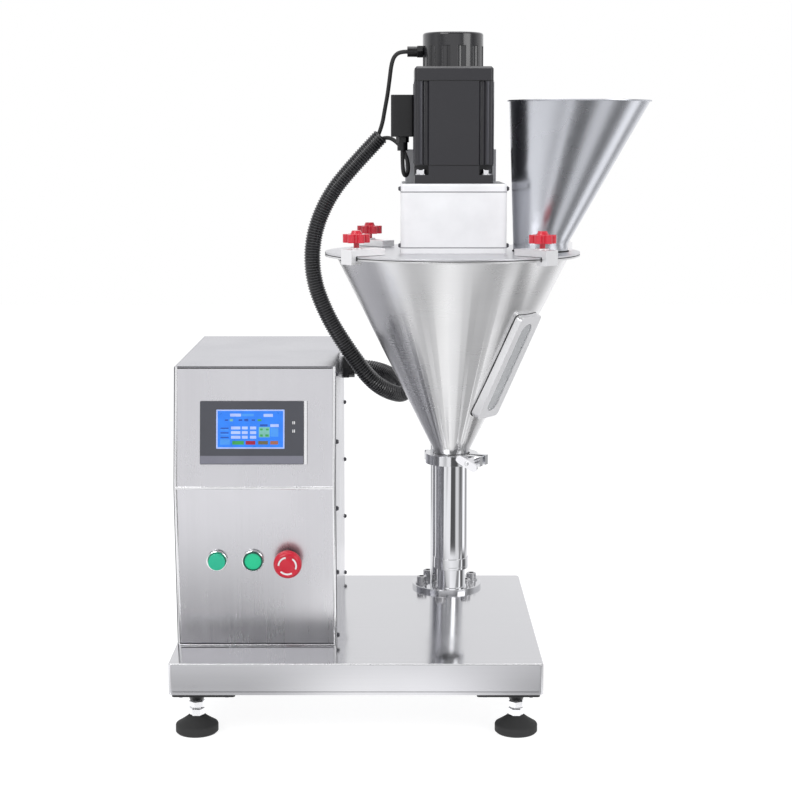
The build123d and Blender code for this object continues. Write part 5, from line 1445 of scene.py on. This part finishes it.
@dataclass
class Hopper:
    """Cone, lid, clamps, window, band clamp, tube and nozzle.

    Attributes:
        corners: Names of the four clamps with their azimuths from the front.
        cone_r: Radius of the cone's foot.
        cone_z: World height of the cone's foot.
        cone_lean: Half of the cone's angle in degrees.
        window_turn: Azimuth of the window from the front.
        window_z: World height of the window's middle.
        gasket_half: Half width and half height of the black line round the frame, partly its seal and partly
            painted shade.
        gasket_corner: Radius of its corners.
        gasket_bead: Half width and height of the line itself.
        gasket_step: Longest piece of it that stays straight.
    """

    cone_r: float = 0.02415
    cone_z: float = 0.3685
    cone_lean: float = 26.42
    window_turn: float = 54.0
    window_z: float = 0.5067
    gasket_half: Flat = (0.0270, 0.0850)
    gasket_corner: float = 0.006
    gasket_bead: Flat = (0.0010, 0.0009)
    gasket_step: float = 0.008
    corners: dict[str, float] = field(default_factory=lambda: {
        "front_right": 43.0, "rear_right": 114.0, "rear_left": 224.0, "front_left": 309.0})

    def build(self, frame: dict[str, Any]) -> None:
        """Dresses the hopper and what hangs under it."""
        for node, finish, body, slot, bevel, segments in (
                ("hopper", CONE, Body.FRAME, "brushed_stainless", 0.0004, 2),
                ("lid", SHEET_X, Body.FRAME, "brushed_stainless", 0.0005, 2),
                ("seals", RUBBER, Body.FRAME, "black_rubber", 0.0002, 2),
                ("window_frame", CLAMP, Body.FRAME, "satin_steel", 0.0010, 3),
                ("window_glass", MILKY, Body.FRAME, "clear_glass", 0.0003, 2),
                ("clamp_blocks", CLAMP, Body.FRAME, "satin_steel", 0.0008, 3)):
            softened(frame, node, finish, body, bevel, segments)
        for name in self.corners:
            softened(frame, f"clamp_knob_{name}", RED_KNOB, f"clamp_knob_{name}", 0.0022, 4)
            softened(frame, f"clamp_pad_{name}", GEAR, f"clamp_pad_{name}", 0.0003)
        for node, finish, body, slot, bevel, segments in (
                ("band_clamp", STEEL, Body.FRAME, "polished_steel", 0.0012, 3),
                ("wing_nut", CHROME, Body.WING, "chrome_trim", 0.0010, 3),
                ("auger_tube", MIRROR, Body.FRAME, "polished_steel", 0.0003, 2),
                ("nozzle", MIRROR, Body.FRAME, "polished_steel", 0.0003, 2),
                ("auger", STEEL, Body.DRIVE, "polished_steel", 0.0, 2),
                ("drive_shaft", GEAR, Body.DRIVE, "gear_steel", 0.0, 2),
                ("layshaft", GEAR, Body.LAYSHAFT, "gear_steel", 0.0, 2),
                ("agitator", STEEL, Body.AGITATOR, "polished_steel", 0.0, 2),
                ("bearings", GEAR, Body.FRAME, "gear_steel", 0.0003, 2),
                ("feed_hopper", FUNNEL, Body.FEED, "polished_steel", 0.0004, 2)):
            softened(frame, node, finish, body, bevel, segments)
        self.gasket()

    def window_out(self) -> Vector:
        """The way out of the window's plane."""
        turn, lean = math.radians(self.window_turn), math.radians(self.cone_lean)
        return Vector((math.sin(turn) * math.cos(lean), -math.cos(turn) * math.cos(lean), -math.sin(lean)))

    def on_cone(self, across: float, along: float) -> Vector:
        """The point of the cone under a point of the window's plane, given from the window's middle."""
        turn, slope = math.radians(self.window_turn), math.tan(math.radians(self.cone_lean))
        out = self.window_out()
        side = Vector((math.cos(turn), math.sin(turn), 0.0))
        rise = side.cross(out)
        middle_r = self.cone_r + (self.window_z - self.cone_z) * slope
        middle = Vector((AXIS_X + middle_r * math.sin(turn), AXIS_Y - middle_r * math.cos(turn),
                         self.window_z))
        low, high, halvings = 0.0, 0.05, 24
        for _ in range(halvings):
            depth = (low + high) / 2
            spot = middle + side * across + rise * along - out * depth
            wall = self.cone_r + (spot.z - self.cone_z) * slope
            if math.hypot(spot.x - AXIS_X, spot.y - AXIS_Y) > wall:
                low = depth
            else:
                high = depth
        return spot

    def gasket(self) -> None:
        """The black line round the window's frame: partly its seal, partly painted shade in the gap where the
        frame meets the cone.
        """
        half_w, half_h = self.gasket_half
        outline = rectangle(-half_w, -half_h, half_w, half_h, self.gasket_corner, 4)
        dense = []
        for (x0, y0), (x1, y1) in zip(outline, outline[1:] + outline[:1]):
            steps = max(1, round(math.hypot(x1 - x0, y1 - y0) / self.gasket_step))
            shares = [k / steps for k in range(steps)]
            dense += [self.on_cone(x0 + (x1 - x0) * share, y0 + (y1 - y0) * share) for share in shares]
        # Painted shade: the black line also stands in for the shade in the gap along the frame's foot.
        line = piping("line", dense, self.window_out(), *self.gasket_bead, True)
        new_piece("window_seal_and_shade", with_finish(line, RUBBER), RUBBER, Body.FRAME)


@dataclass
class Drive:
    """Drive housing and servo motor.

    Attributes:
        housing_half: Half width of the housing.
        housing_y: World Y of its front and rear face.
        housing_corner: Radius of its upright corners.
        seam_z: World heights of its two seams.
        seam_bead: Half width and height of a seam's line.
        top_z: World height of its top face.
        motor_half: Half width of the motor.
        motor_corner: Radius of its upright corners.
        band_z: World heights of the dark lines round the motor.
        band_bead: Half width and height of such a line.
        post_at: Distance of a corner post from the middle of a side.
        post_z: World height of a post's low and high end.
        post_bead: Half width and height of a post.
    """

    housing_half: float = 0.0755
    housing_y: Flat = (-0.103, 0.050)
    housing_corner: float = 0.007
    seam_z: Flat = (0.6767, 0.7560)
    seam_bead: Flat = (0.0005, 0.0008)
    top_z: float = 0.7680
    motor_half: float = 0.056
    motor_corner: float = 0.005
    band_z: Flat = (0.9130, 0.7936)
    band_bead: Flat = (0.0004, 0.0006)
    post_at: float = 0.0475
    post_z: Flat = (0.7950, 0.9115)
    post_bead: Flat = (0.0019, 0.0011)

    def build(self, frame: dict[str, Any]) -> None:
        """Dresses the housing and the motor."""
        softened(frame, "housing_base", WHITE, Body.FRAME, 0.0006)
        softened(frame, "drive_housing", WHITE, Body.FRAME, 0.0006)
        top = softened(frame, "housing_top", WHITE, Body.FRAME, 0.0006)
        reach = 0.0005
        # Painted shade: the upward faces of the top are painted dark grey.
        repaint(top, TOP_PAINTED_SHADE, (-1, -1, self.top_z - reach), (1, 1, self.top_z + reach), (0, 0, 1))
        front, rear = self.housing_y
        outline = rectangle(AXIS_X - self.housing_half, front, AXIS_X + self.housing_half, rear,
                            self.housing_corner, 6)
        seams = [self.hoop(outline, z, self.seam_bead) for z in self.seam_z]
        fixed_piece("housing_seams", seams, PALE_SEAM)
        softened(frame, "motor", CHARCOAL, Body.FRAME, 0.0008, 3)
        softened(frame, "motor_cap", BLACK_GLOSS, Body.FRAME, 0.0004)
        self.motor_lines()
        softened(frame, "terminal_box", BLACK, Body.FRAME, 0.0012, 3)
        softened(frame, "cable_glands", BLACK, Body.FRAME, 0.0005)

    def hoop(self, outline: Sequence[Flat], z: float, bead: Flat) -> bpy.types.Mesh:
        """A closed bead round an outline at one height."""
        return piping("hoop", [(x, y, z) for x, y in outline], (0, 0, 1), *bead, True)

    def motor_lines(self) -> None:
        """The dark lines round the motor and the posts beside its corners."""
        half = self.motor_half
        outline = rectangle(AXIS_X - half, AXIS_Y - half, AXIS_X + half, AXIS_Y + half, self.motor_corner)
        lines = [with_finish(self.hoop(outline, z, self.band_bead), BLACK) for z in self.band_z]
        for x, y in ((-1, 0), (1, 0), (0, -1), (0, 1)):
            for side in (-self.post_at, self.post_at):
                foot = (AXIS_X + half * x + side * abs(y), AXIS_Y + half * y + side * abs(x))
                post = piping("post", [(*foot, z) for z in self.post_z], (x, y, 0), *self.post_bead)
                lines.append(with_finish(post, POST))
        new_piece("motor_bands", joined("motor_bands", lines), POST, Body.FRAME)


@dataclass
class Fasteners:
    """Every screw and bolt that shows.

    Attributes:
        column_y: World Y of the column's axis.
        flange_pcd: Pitch circle of the column flange's screws.
        flange_mm: Height of the flange's face over the deck.
        bolt_at: Distance of a motor bolt from the axis, along X and along Y.
        bolt_mm: Height of the motor's flange over the deck.
        side_x: World X of the cabinet's left and right side.
        side_rows: Screws along one edge of a side.
        side_mm: Height of the lowest one over the deck, and of the highest over the lowest.
        setback_mm: Setback of the cabinet's front at the foot, the seam and the top.
        front_mm: Height of the seam over the deck, and of the top over the seam.
        inset_mm: Distance of a front screw from the front.
        rear_y: World Y of the rear row.
        heads: Height of the heads on the left and on the right side.
        housing_half: Half width of the drive housing.
        housing_y: World Y of its screws.
        housing_z: World heights of its screws.
        plate_x: World X of the corner plates' middles.
        plate_y: World Y of the same.
        plate_z: World height of a plate's low face.
        plate_at: Distance of a plate's screw from its middle, along X and along Y.
    """

    column_y: float = 0.178
    flange_pcd: float = 0.084
    flange_mm: float = 6.0
    bolt_at: float = 0.046
    bolt_mm: float = 671.0
    side_x: Flat = (-0.340, -0.112)
    side_rows: int = 5
    side_mm: Flat = (12.0, 379.0)
    setback_mm: tuple[float, float, float] = (88.8, 67.5, 92.0)
    front_mm: Flat = (234.0, 169.0)
    inset_mm: float = 12.0
    rear_y: float = 0.213
    heads: Flat = (0.0008, 0.0036)
    housing_half: float = 0.0755
    housing_y: float = -0.093
    housing_z: Flat = (0.6795, 0.7605)
    plate_x: Flat = (-0.295, 0.129)
    plate_y: Flat = (-0.192, 0.192)
    plate_z: float = 0.0606
    plate_at: float = 0.032

    def build(self, frame: dict[str, Any]) -> None:
        """Builds the fasteners in three sorts and lets them stand for their solids."""
        flange = cap_screw_tree(SATIN).run("flange_screws", point_mesh("flange_points", self.on_flange()))
        motor = hex_bolt_tree(CHROME).run("motor_bolts", point_mesh("motor_points", self.on_motor()))
        screws = pan_screw_tree(DARK_STEEL)
        sides = self.on_sides()
        middle_x = sum(self.side_x) / 2
        left = [place for place in sides if place[0][0] < middle_x]
        right = [place for place in sides if place[0][0] > middle_x]
        proud = screws.run("right_screws", point_mesh("right_points", right), {"Head Height": self.heads[1]})
        flush = screws.run("left_screws", point_mesh("left_points", left), {"Head Height": self.heads[0]})
        under = point_mesh("plate_points", self.on_plates())
        plates = hex_bolt_tree(CHROME).run("plate_screws", under, {
            "Head Radius": 0.0045, "Head Height": 0.003, "Washer Radius": 0.0055, "Washer Height": 0.0008})
        whole = new_piece("fasteners", joined("fasteners", [flange, motor, proud, flush, plates]), SATIN,
                          Body.FRAME)
        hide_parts("screws_and_bolts")

    def on_flange(self) -> list[Place]:
        """Places of the six screws in the column's flange."""
        places = []
        for i in range(6):
            turn = math.radians(15 + 60 * i)
            places.append(((AXIS_X + self.flange_pcd / 2 * math.cos(turn),
                            self.column_y + self.flange_pcd / 2 * math.sin(turn), up(self.flange_mm)),
                           (0, 0, 1)))
        return places

    def on_motor(self) -> list[Place]:
        """Places of the four bolts in the motor's flange."""
        return [((AXIS_X + x, AXIS_Y + y, up(self.bolt_mm)), (0, 0, 1))
                for x in (-self.bolt_at, self.bolt_at) for y in (-self.bolt_at, self.bolt_at)]

    def setback(self, level: float) -> float:
        """Setback of the cabinet's front at a height over the deck, both in millimetres."""
        foot, seam, top = self.setback_mm
        seam_mm, rest_mm = self.front_mm
        if level < seam_mm:
            return foot + (seam - foot) * level / seam_mm
        return seam + (top - seam) * (level - seam_mm) / rest_mm

    def on_sides(self) -> list[Place]:
        """Places of the screws in the cabinet's sides and in the housing's sides."""
        deck_front = -0.240
        lowest, span = self.side_mm
        places = []
        for x, out in zip(self.side_x, (-1, 1)):
            for i in range(self.side_rows):
                level = lowest + span * i / (self.side_rows - 1)
                front = deck_front + (self.setback(level) + self.inset_mm) * MM
                places += [((x, y, up(level)), (out, 0, 0)) for y in (front, self.rear_y)]
        places += [((AXIS_X + self.housing_half * out, self.housing_y, z), (out, 0, 0))
                   for out in (-1, 1) for z in self.housing_z]
        return places

    def on_plates(self) -> list[Place]:
        """Places of the screws under the corner plates."""
        at = (-self.plate_at, self.plate_at)
        return [((x + dx, y + dy, self.plate_z), (0, 0, -1))
                for x in self.plate_x for y in self.plate_y for dx in at for dy in at]


@dataclass
class Studio:
    """Camera, lamps, world and floor.

    Attributes:
        camera_at: The camera's place.
        lens: Focal length on a 36 mm sensor.
        pitch: Downward tilt in degrees.
        shift_y: Vertical shift of the frame.
        sky_level: What the sky gives to matt surfaces.
        sky_stops: Level by bearing of the sky in polished metal; the front is at one half.
        near_stops: The same for the floor close to the head.
        far_stops: The same for the floor further out.
        outer_stops: The same for the floor beyond that, which the upright tube shows.
        fall_stops: Level of the floor before the cabinet, from far to near.
        hood: How much darker the sky is high in front.
        hood_z: Upward part of the direction at which the hood starts and is full.
        hood_y: Forward part of the direction at which it starts and is full.
        hood_colour: What it darkens to.
        far_band: Distances from the head's axis between which the far stops take over.
        outer_band: Distances between which the outer stops take over.
        fall_y: World Y of the first and the last fall stop.
        cabinet_right: World X between which the fall starts to count, right of the cabinet.
        cabinet_left: World X between which it starts to count, far left.
        tray_far: World Y between which the cards before the tray start, from the front.
        tray_near: World Y between which they start, from the tray.
        pool_x: World X of the middle of the bright card before the tray.
        pool_fade: Distances from that middle at which the card starts and is full.
        pool_level: Level of that card.
        end_x: World X between which the dark card on its right starts.
        end_colour: Colour of the dark card.
        floor_half: Half of the floor's side.
        floor_grey: Colour of the floor as the lamps and matt surfaces meet it.
        floor_white: Light that the camera sees of the floor without its shadow.
        floor_soft: What the camera sees of the lamps on it, which keeps the shadow.
    """

    camera_at: Point = (-0.0273, -2.4845, 0.8258)
    lens: float = 76.0
    pitch: float = 6.6
    shift_y: float = -0.0758
    sky_level: Colour = (0.62, 0.63, 0.65)
    sky_stops: Stops = (
        (0.0, 0.95), (0.18, 0.95), (0.25, 0.55), (0.31, 0.9), (0.37, 0.35), (0.42, 0.85), (0.46, 1.0),
        (0.55, 1.0), (0.60, 0.40), (0.66, 0.85), (0.72, 0.35), (0.80, 0.9), (1.0, 0.95))
    near_stops: Stops = (
        (0.0, 1.3), (0.10, 2.0), (0.16, 2.4), (0.25, 2.0), (0.30, 1.4), (0.36, 1.05), (0.43, 1.25),
        (0.48, 1.3), (0.535, 1.3), (0.58, 1.25), (0.62, 0.85), (0.66, 1.5), (0.70, 1.5), (0.725, 0.2),
        (0.78, 0.2), (0.82, 0.8), (1.0, 1.2))
    far_stops: Stops = (
        (0.0, 1.1), (0.12, 1.6), (0.18, 1.8), (0.30, 1.6), (0.38, 1.2), (0.50, 1.15), (0.60, 0.95),
        (0.62, 0.9), (0.66, 1.5), (0.70, 1.5), (0.725, 0.15), (0.78, 0.15), (0.82, 0.7), (0.86, 0.9),
        (0.91, 1.1), (1.0, 1.1))
    outer_stops: Stops = (
        (0.0, 1.0), (0.09, 1.0), (0.10, 0.3), (0.115, 0.3), (0.13, 1.0), (0.18, 1.2), (0.30, 1.3),
        (0.38, 1.1), (0.43, 0.6), (0.462, 0.12), (0.564, 0.12), (0.59, 0.9), (0.63, 0.9), (0.66, 0.3),
        (0.70, 0.12), (0.72, 0.3), (0.745, 1.4), (0.79, 1.4), (0.81, 0.3), (0.86, 0.7), (0.91, 1.2),
        (1.0, 1.0))
    fall_stops: Stops = (
        (0.0, 1.15), (0.27, 1.12), (0.45, 0.98), (0.60, 0.70), (0.70, 0.44), (0.76, 0.36), (0.84, 1.0),
        (1.0, 1.15))
    hood: float = 0.9
    hood_z: Flat = (0.20, 0.38)
    hood_y: Flat = (-0.3, -0.6)
    hood_colour: Colour = (0.08, 0.08, 0.085)
    far_band: Flat = (0.5, 0.75)
    outer_band: Flat = (0.87, 0.97)
    fall_y: Flat = (-1.2, -0.2)
    cabinet_right: Flat = (-0.04, -0.13)
    cabinet_left: Flat = (-0.85, -0.6)
    tray_far: Flat = (-0.62, -0.54)
    tray_near: Flat = (-0.30, -0.38)
    pool_x: float = -0.075
    pool_fade: Flat = (0.16, 0.04)
    pool_level: float = 1.3
    end_x: Flat = (0.06, 0.20)
    end_colour: Colour = (0.35, 0.35, 0.355)
    floor_half: float = 6.0
    floor_grey: float = 0.80
    floor_white: float = 0.86
    floor_soft: float = 0.30

    def build(self) -> None:
        """Sets up the studio."""
        self.camera()
        self.world()
        self.floor()
        for name, place, aim, size, power in (
                ("key", (-1.6, -2.2, 2.3), (0.0, 0.0, 0.55), 1.6, 34.0),
                ("fill", (2.2, -1.7, 1.5), (0.0, 0.0, 0.5), 1.4, 16.0),
                ("top", (0.1, 0.2, 3.0), (0.0, 0.0, 0.5), 1.8, 26.0)):
            self.lamp(name, place, aim, size, power)

    def camera(self) -> None:
        """Adds the camera at the photograph's viewpoint."""
        data = bpy.data.cameras.new("camera")
        data.lens, data.sensor_width = self.lens, 36.0
        data.shift_y = self.shift_y
        data.clip_end = 50.0
        camera = bpy.data.objects.new("camera", data)
        camera.location = self.camera_at
        camera.rotation_euler = (math.radians(90.0 - self.pitch), 0.0, 0.0)
        bpy.context.scene.collection.objects.link(camera)
        bpy.context.scene.camera = camera

    def lamp(self, name: str, place: Point, aim: Point, size: float, power: float) -> None:
        """Adds a soft square lamp.

        Args:
            name: The lamp's name.
            place: Where it hangs.
            aim: Where it points.
            size: Length of its side.
            power: Its power in watts.
        """
        data = bpy.data.lights.new(name, "AREA")
        data.shape, data.size, data.energy = "SQUARE", size, power
        lamp = bpy.data.objects.new(name, data)
        lamp.location = place
        lamp.rotation_euler = (Vector(aim) - Vector(place)).to_track_quat("-Z", "Y").to_euler()
        bpy.context.scene.collection.objects.link(lamp)

    def ramp(self, tree: Tree, value: Any, stops: Sequence[Flat]) -> bpy.types.NodeSocket:
        """Reads a level between stops.

        Args:
            tree: The tree to add to.
            value: The socket that is read, from 0 to 1.
            stops: Position and level of each stop.

        Returns:
            The level as a colour socket.
        """
        made = tree.node("ShaderNodeValToRGB", {0: value})
        for i, (at, level) in enumerate(stops):
            stop = made.color_ramp.elements[i] if i < 2 else made.color_ramp.elements.new(at)
            stop.position = at
            stop.color = (level, level, level * 1.015, 1.0)
        return made.outputs[0]

    def bearing(self, tree: Tree, across: Any, ahead: Any) -> bpy.types.NodeSocket:
        """Turns a direction into a share of a full turn, with the front at one half."""
        angle = tree.math("ARCTAN2", across, tree.math("MULTIPLY", ahead, -1.0))
        return tree.math("ADD", tree.math("DIVIDE", angle, 2 * math.pi), 0.5)

    def world(self) -> None:
        """White to the camera, a studio with darker sides to polished metal."""
        world = bpy.data.worlds.new("studio")
        world.use_nodes = True
        bpy.context.scene.world = world
        tree = Tree(world.node_tree)
        world.node_tree.nodes.clear()
        path = tree.node("ShaderNodeLightPath")
        where = tree.node("ShaderNodeTexCoord").outputs["Generated"]
        apart = tree.node("ShaderNodeSeparateXYZ", {0: where})
        turn = self.bearing(tree, apart.outputs[0], apart.outputs[1])
        studio = self.ramp(tree, turn, self.sky_stops)
        seen = tree.math("MAXIMUM", path.outputs["Is Camera Ray"], path.outputs["Is Transmission Ray"])
        high = tree.math("MULTIPLY", tree.between(apart.outputs[2], self.hood_z), self.hood)
        ahead = tree.between(apart.outputs[1], self.hood_y)
        studio = tree.blend(tree.math("MULTIPLY", high, ahead), studio, (*self.hood_colour, 1.0))
        glossy = tree.blend(path.outputs["Is Glossy Ray"], (*self.sky_level, 1.0), studio)
        colour = tree.blend(seen, glossy, (1.0, 1.0, 1.0, 1.0))
        sky = tree.node("ShaderNodeBackground", {"Color": colour, "Strength": 1.0})
        tree.node("ShaderNodeOutputWorld", {0: sky.outputs[0]})

    def floor_glow(self, tree: Tree) -> bpy.types.NodeSocket:
        """What polished metal sees of the floor: cards round the head, and a fall-off before the cabinet."""
        apart = tree.node("ShaderNodeSeparateXYZ", {0: tree.node("ShaderNodeTexCoord").outputs["Object"]})
        x, y = apart.outputs[0], apart.outputs[1]
        across, ahead = tree.math("SUBTRACT", x, AXIS_X), tree.math("SUBTRACT", y, AXIS_Y)
        turn = self.bearing(tree, across, ahead)
        far = tree.math("SQRT", tree.math("ADD", tree.math("MULTIPLY", across, across),
                                          tree.math("MULTIPLY", ahead, ahead)))
        away = tree.between(far, self.far_band, "SMOOTHSTEP")
        beyond = tree.between(far, self.outer_band, "SMOOTHSTEP")
        near, middle, outer = (self.ramp(tree, turn, stops)
                               for stops in (self.near_stops, self.far_stops, self.outer_stops))
        cards = tree.blend(beyond, tree.blend(away, near, middle), outer)
        fall = self.ramp(tree, tree.between(y, self.fall_y), self.fall_stops)
        left = tree.math("MULTIPLY", tree.between(x, self.cabinet_right), tree.between(x, self.cabinet_left))
        glow = tree.blend(left, cards, fall)
        close = tree.math("MULTIPLY", tree.between(y, self.tray_far), tree.between(y, self.tray_near))
        pool = tree.between(tree.math("ABSOLUTE", tree.math("SUBTRACT", x, self.pool_x)), self.pool_fade)
        bright = (self.pool_level, self.pool_level, self.pool_level, 1.0)
        glow = tree.blend(tree.math("MULTIPLY", close, pool), glow, bright)
        end = tree.between(x, self.end_x)
        return tree.blend(tree.math("MULTIPLY", close, end), glow, (*self.end_colour, 1.0))

    def floor(self) -> None:
        """A pale floor that stays white to the camera and keeps the shadow."""
        build = bmesh.new()
        for x, y in ((-1, -1), (1, -1), (1, 1), (-1, 1)):
            build.verts.new((x * self.floor_half, y * self.floor_half, 0.0))
        build.faces.new(build.verts)
        mesh = bpy.data.meshes.new("floor")
        build.to_mesh(mesh)
        build.free()
        material = bpy.data.materials.new("floor_white")
        material.use_nodes = True
        tree = Tree(material.node_tree)
        material.node_tree.nodes.clear()
        path = tree.node("ShaderNodeLightPath")
        plain, soft = (tree.node("ShaderNodeBsdfDiffuse", {"Color": (level, level, level, 1.0)})
                       for level in (self.floor_grey, self.floor_soft))
        lit = tree.node("ShaderNodeEmission", {"Color": (1.0, 1.0, 1.0, 1.0), "Strength": self.floor_white})
        seen = tree.node("ShaderNodeAddShader", {0: lit.outputs[0], 1: soft.outputs[0]})
        cards = tree.node("ShaderNodeEmission", {"Color": self.floor_glow(tree), "Strength": 1.0})
        shiny = tree.node("ShaderNodeMixShader", {0: path.outputs["Is Glossy Ray"], 1: plain.outputs[0],
                                                  2: cards.outputs[0]})
        which = tree.math("MAXIMUM", path.outputs["Is Camera Ray"], path.outputs["Is Transmission Ray"])
        mixed = tree.node("ShaderNodeMixShader", {0: which, 1: shiny.outputs[0], 2: seen.outputs[0]})
        tree.node("ShaderNodeOutputMaterial", {0: mixed.outputs[0]})
        mesh.materials.append(material)
        floor = bpy.data.objects.new("floor", mesh)
        bpy.context.scene.collection.objects.link(floor)


def main() -> None:
    """Builds the whole scene in order."""
    logging.basicConfig(level=logging.INFO, format="%(message)s")
    scene = bpy.context.scene
    for leftover in list(bpy.data.objects):
        bpy.data.objects.remove(leftover)
    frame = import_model()
    scene.view_settings.view_transform = "Standard"
    for part in (Hoses(), Base(), Cabinet(), Column(), Hopper(), Drive(), Fasteners()):
        part.build(frame)
        log.info("built %s", type(part).__name__)
    Studio().build()


if __name__ == "__main__":
    main()
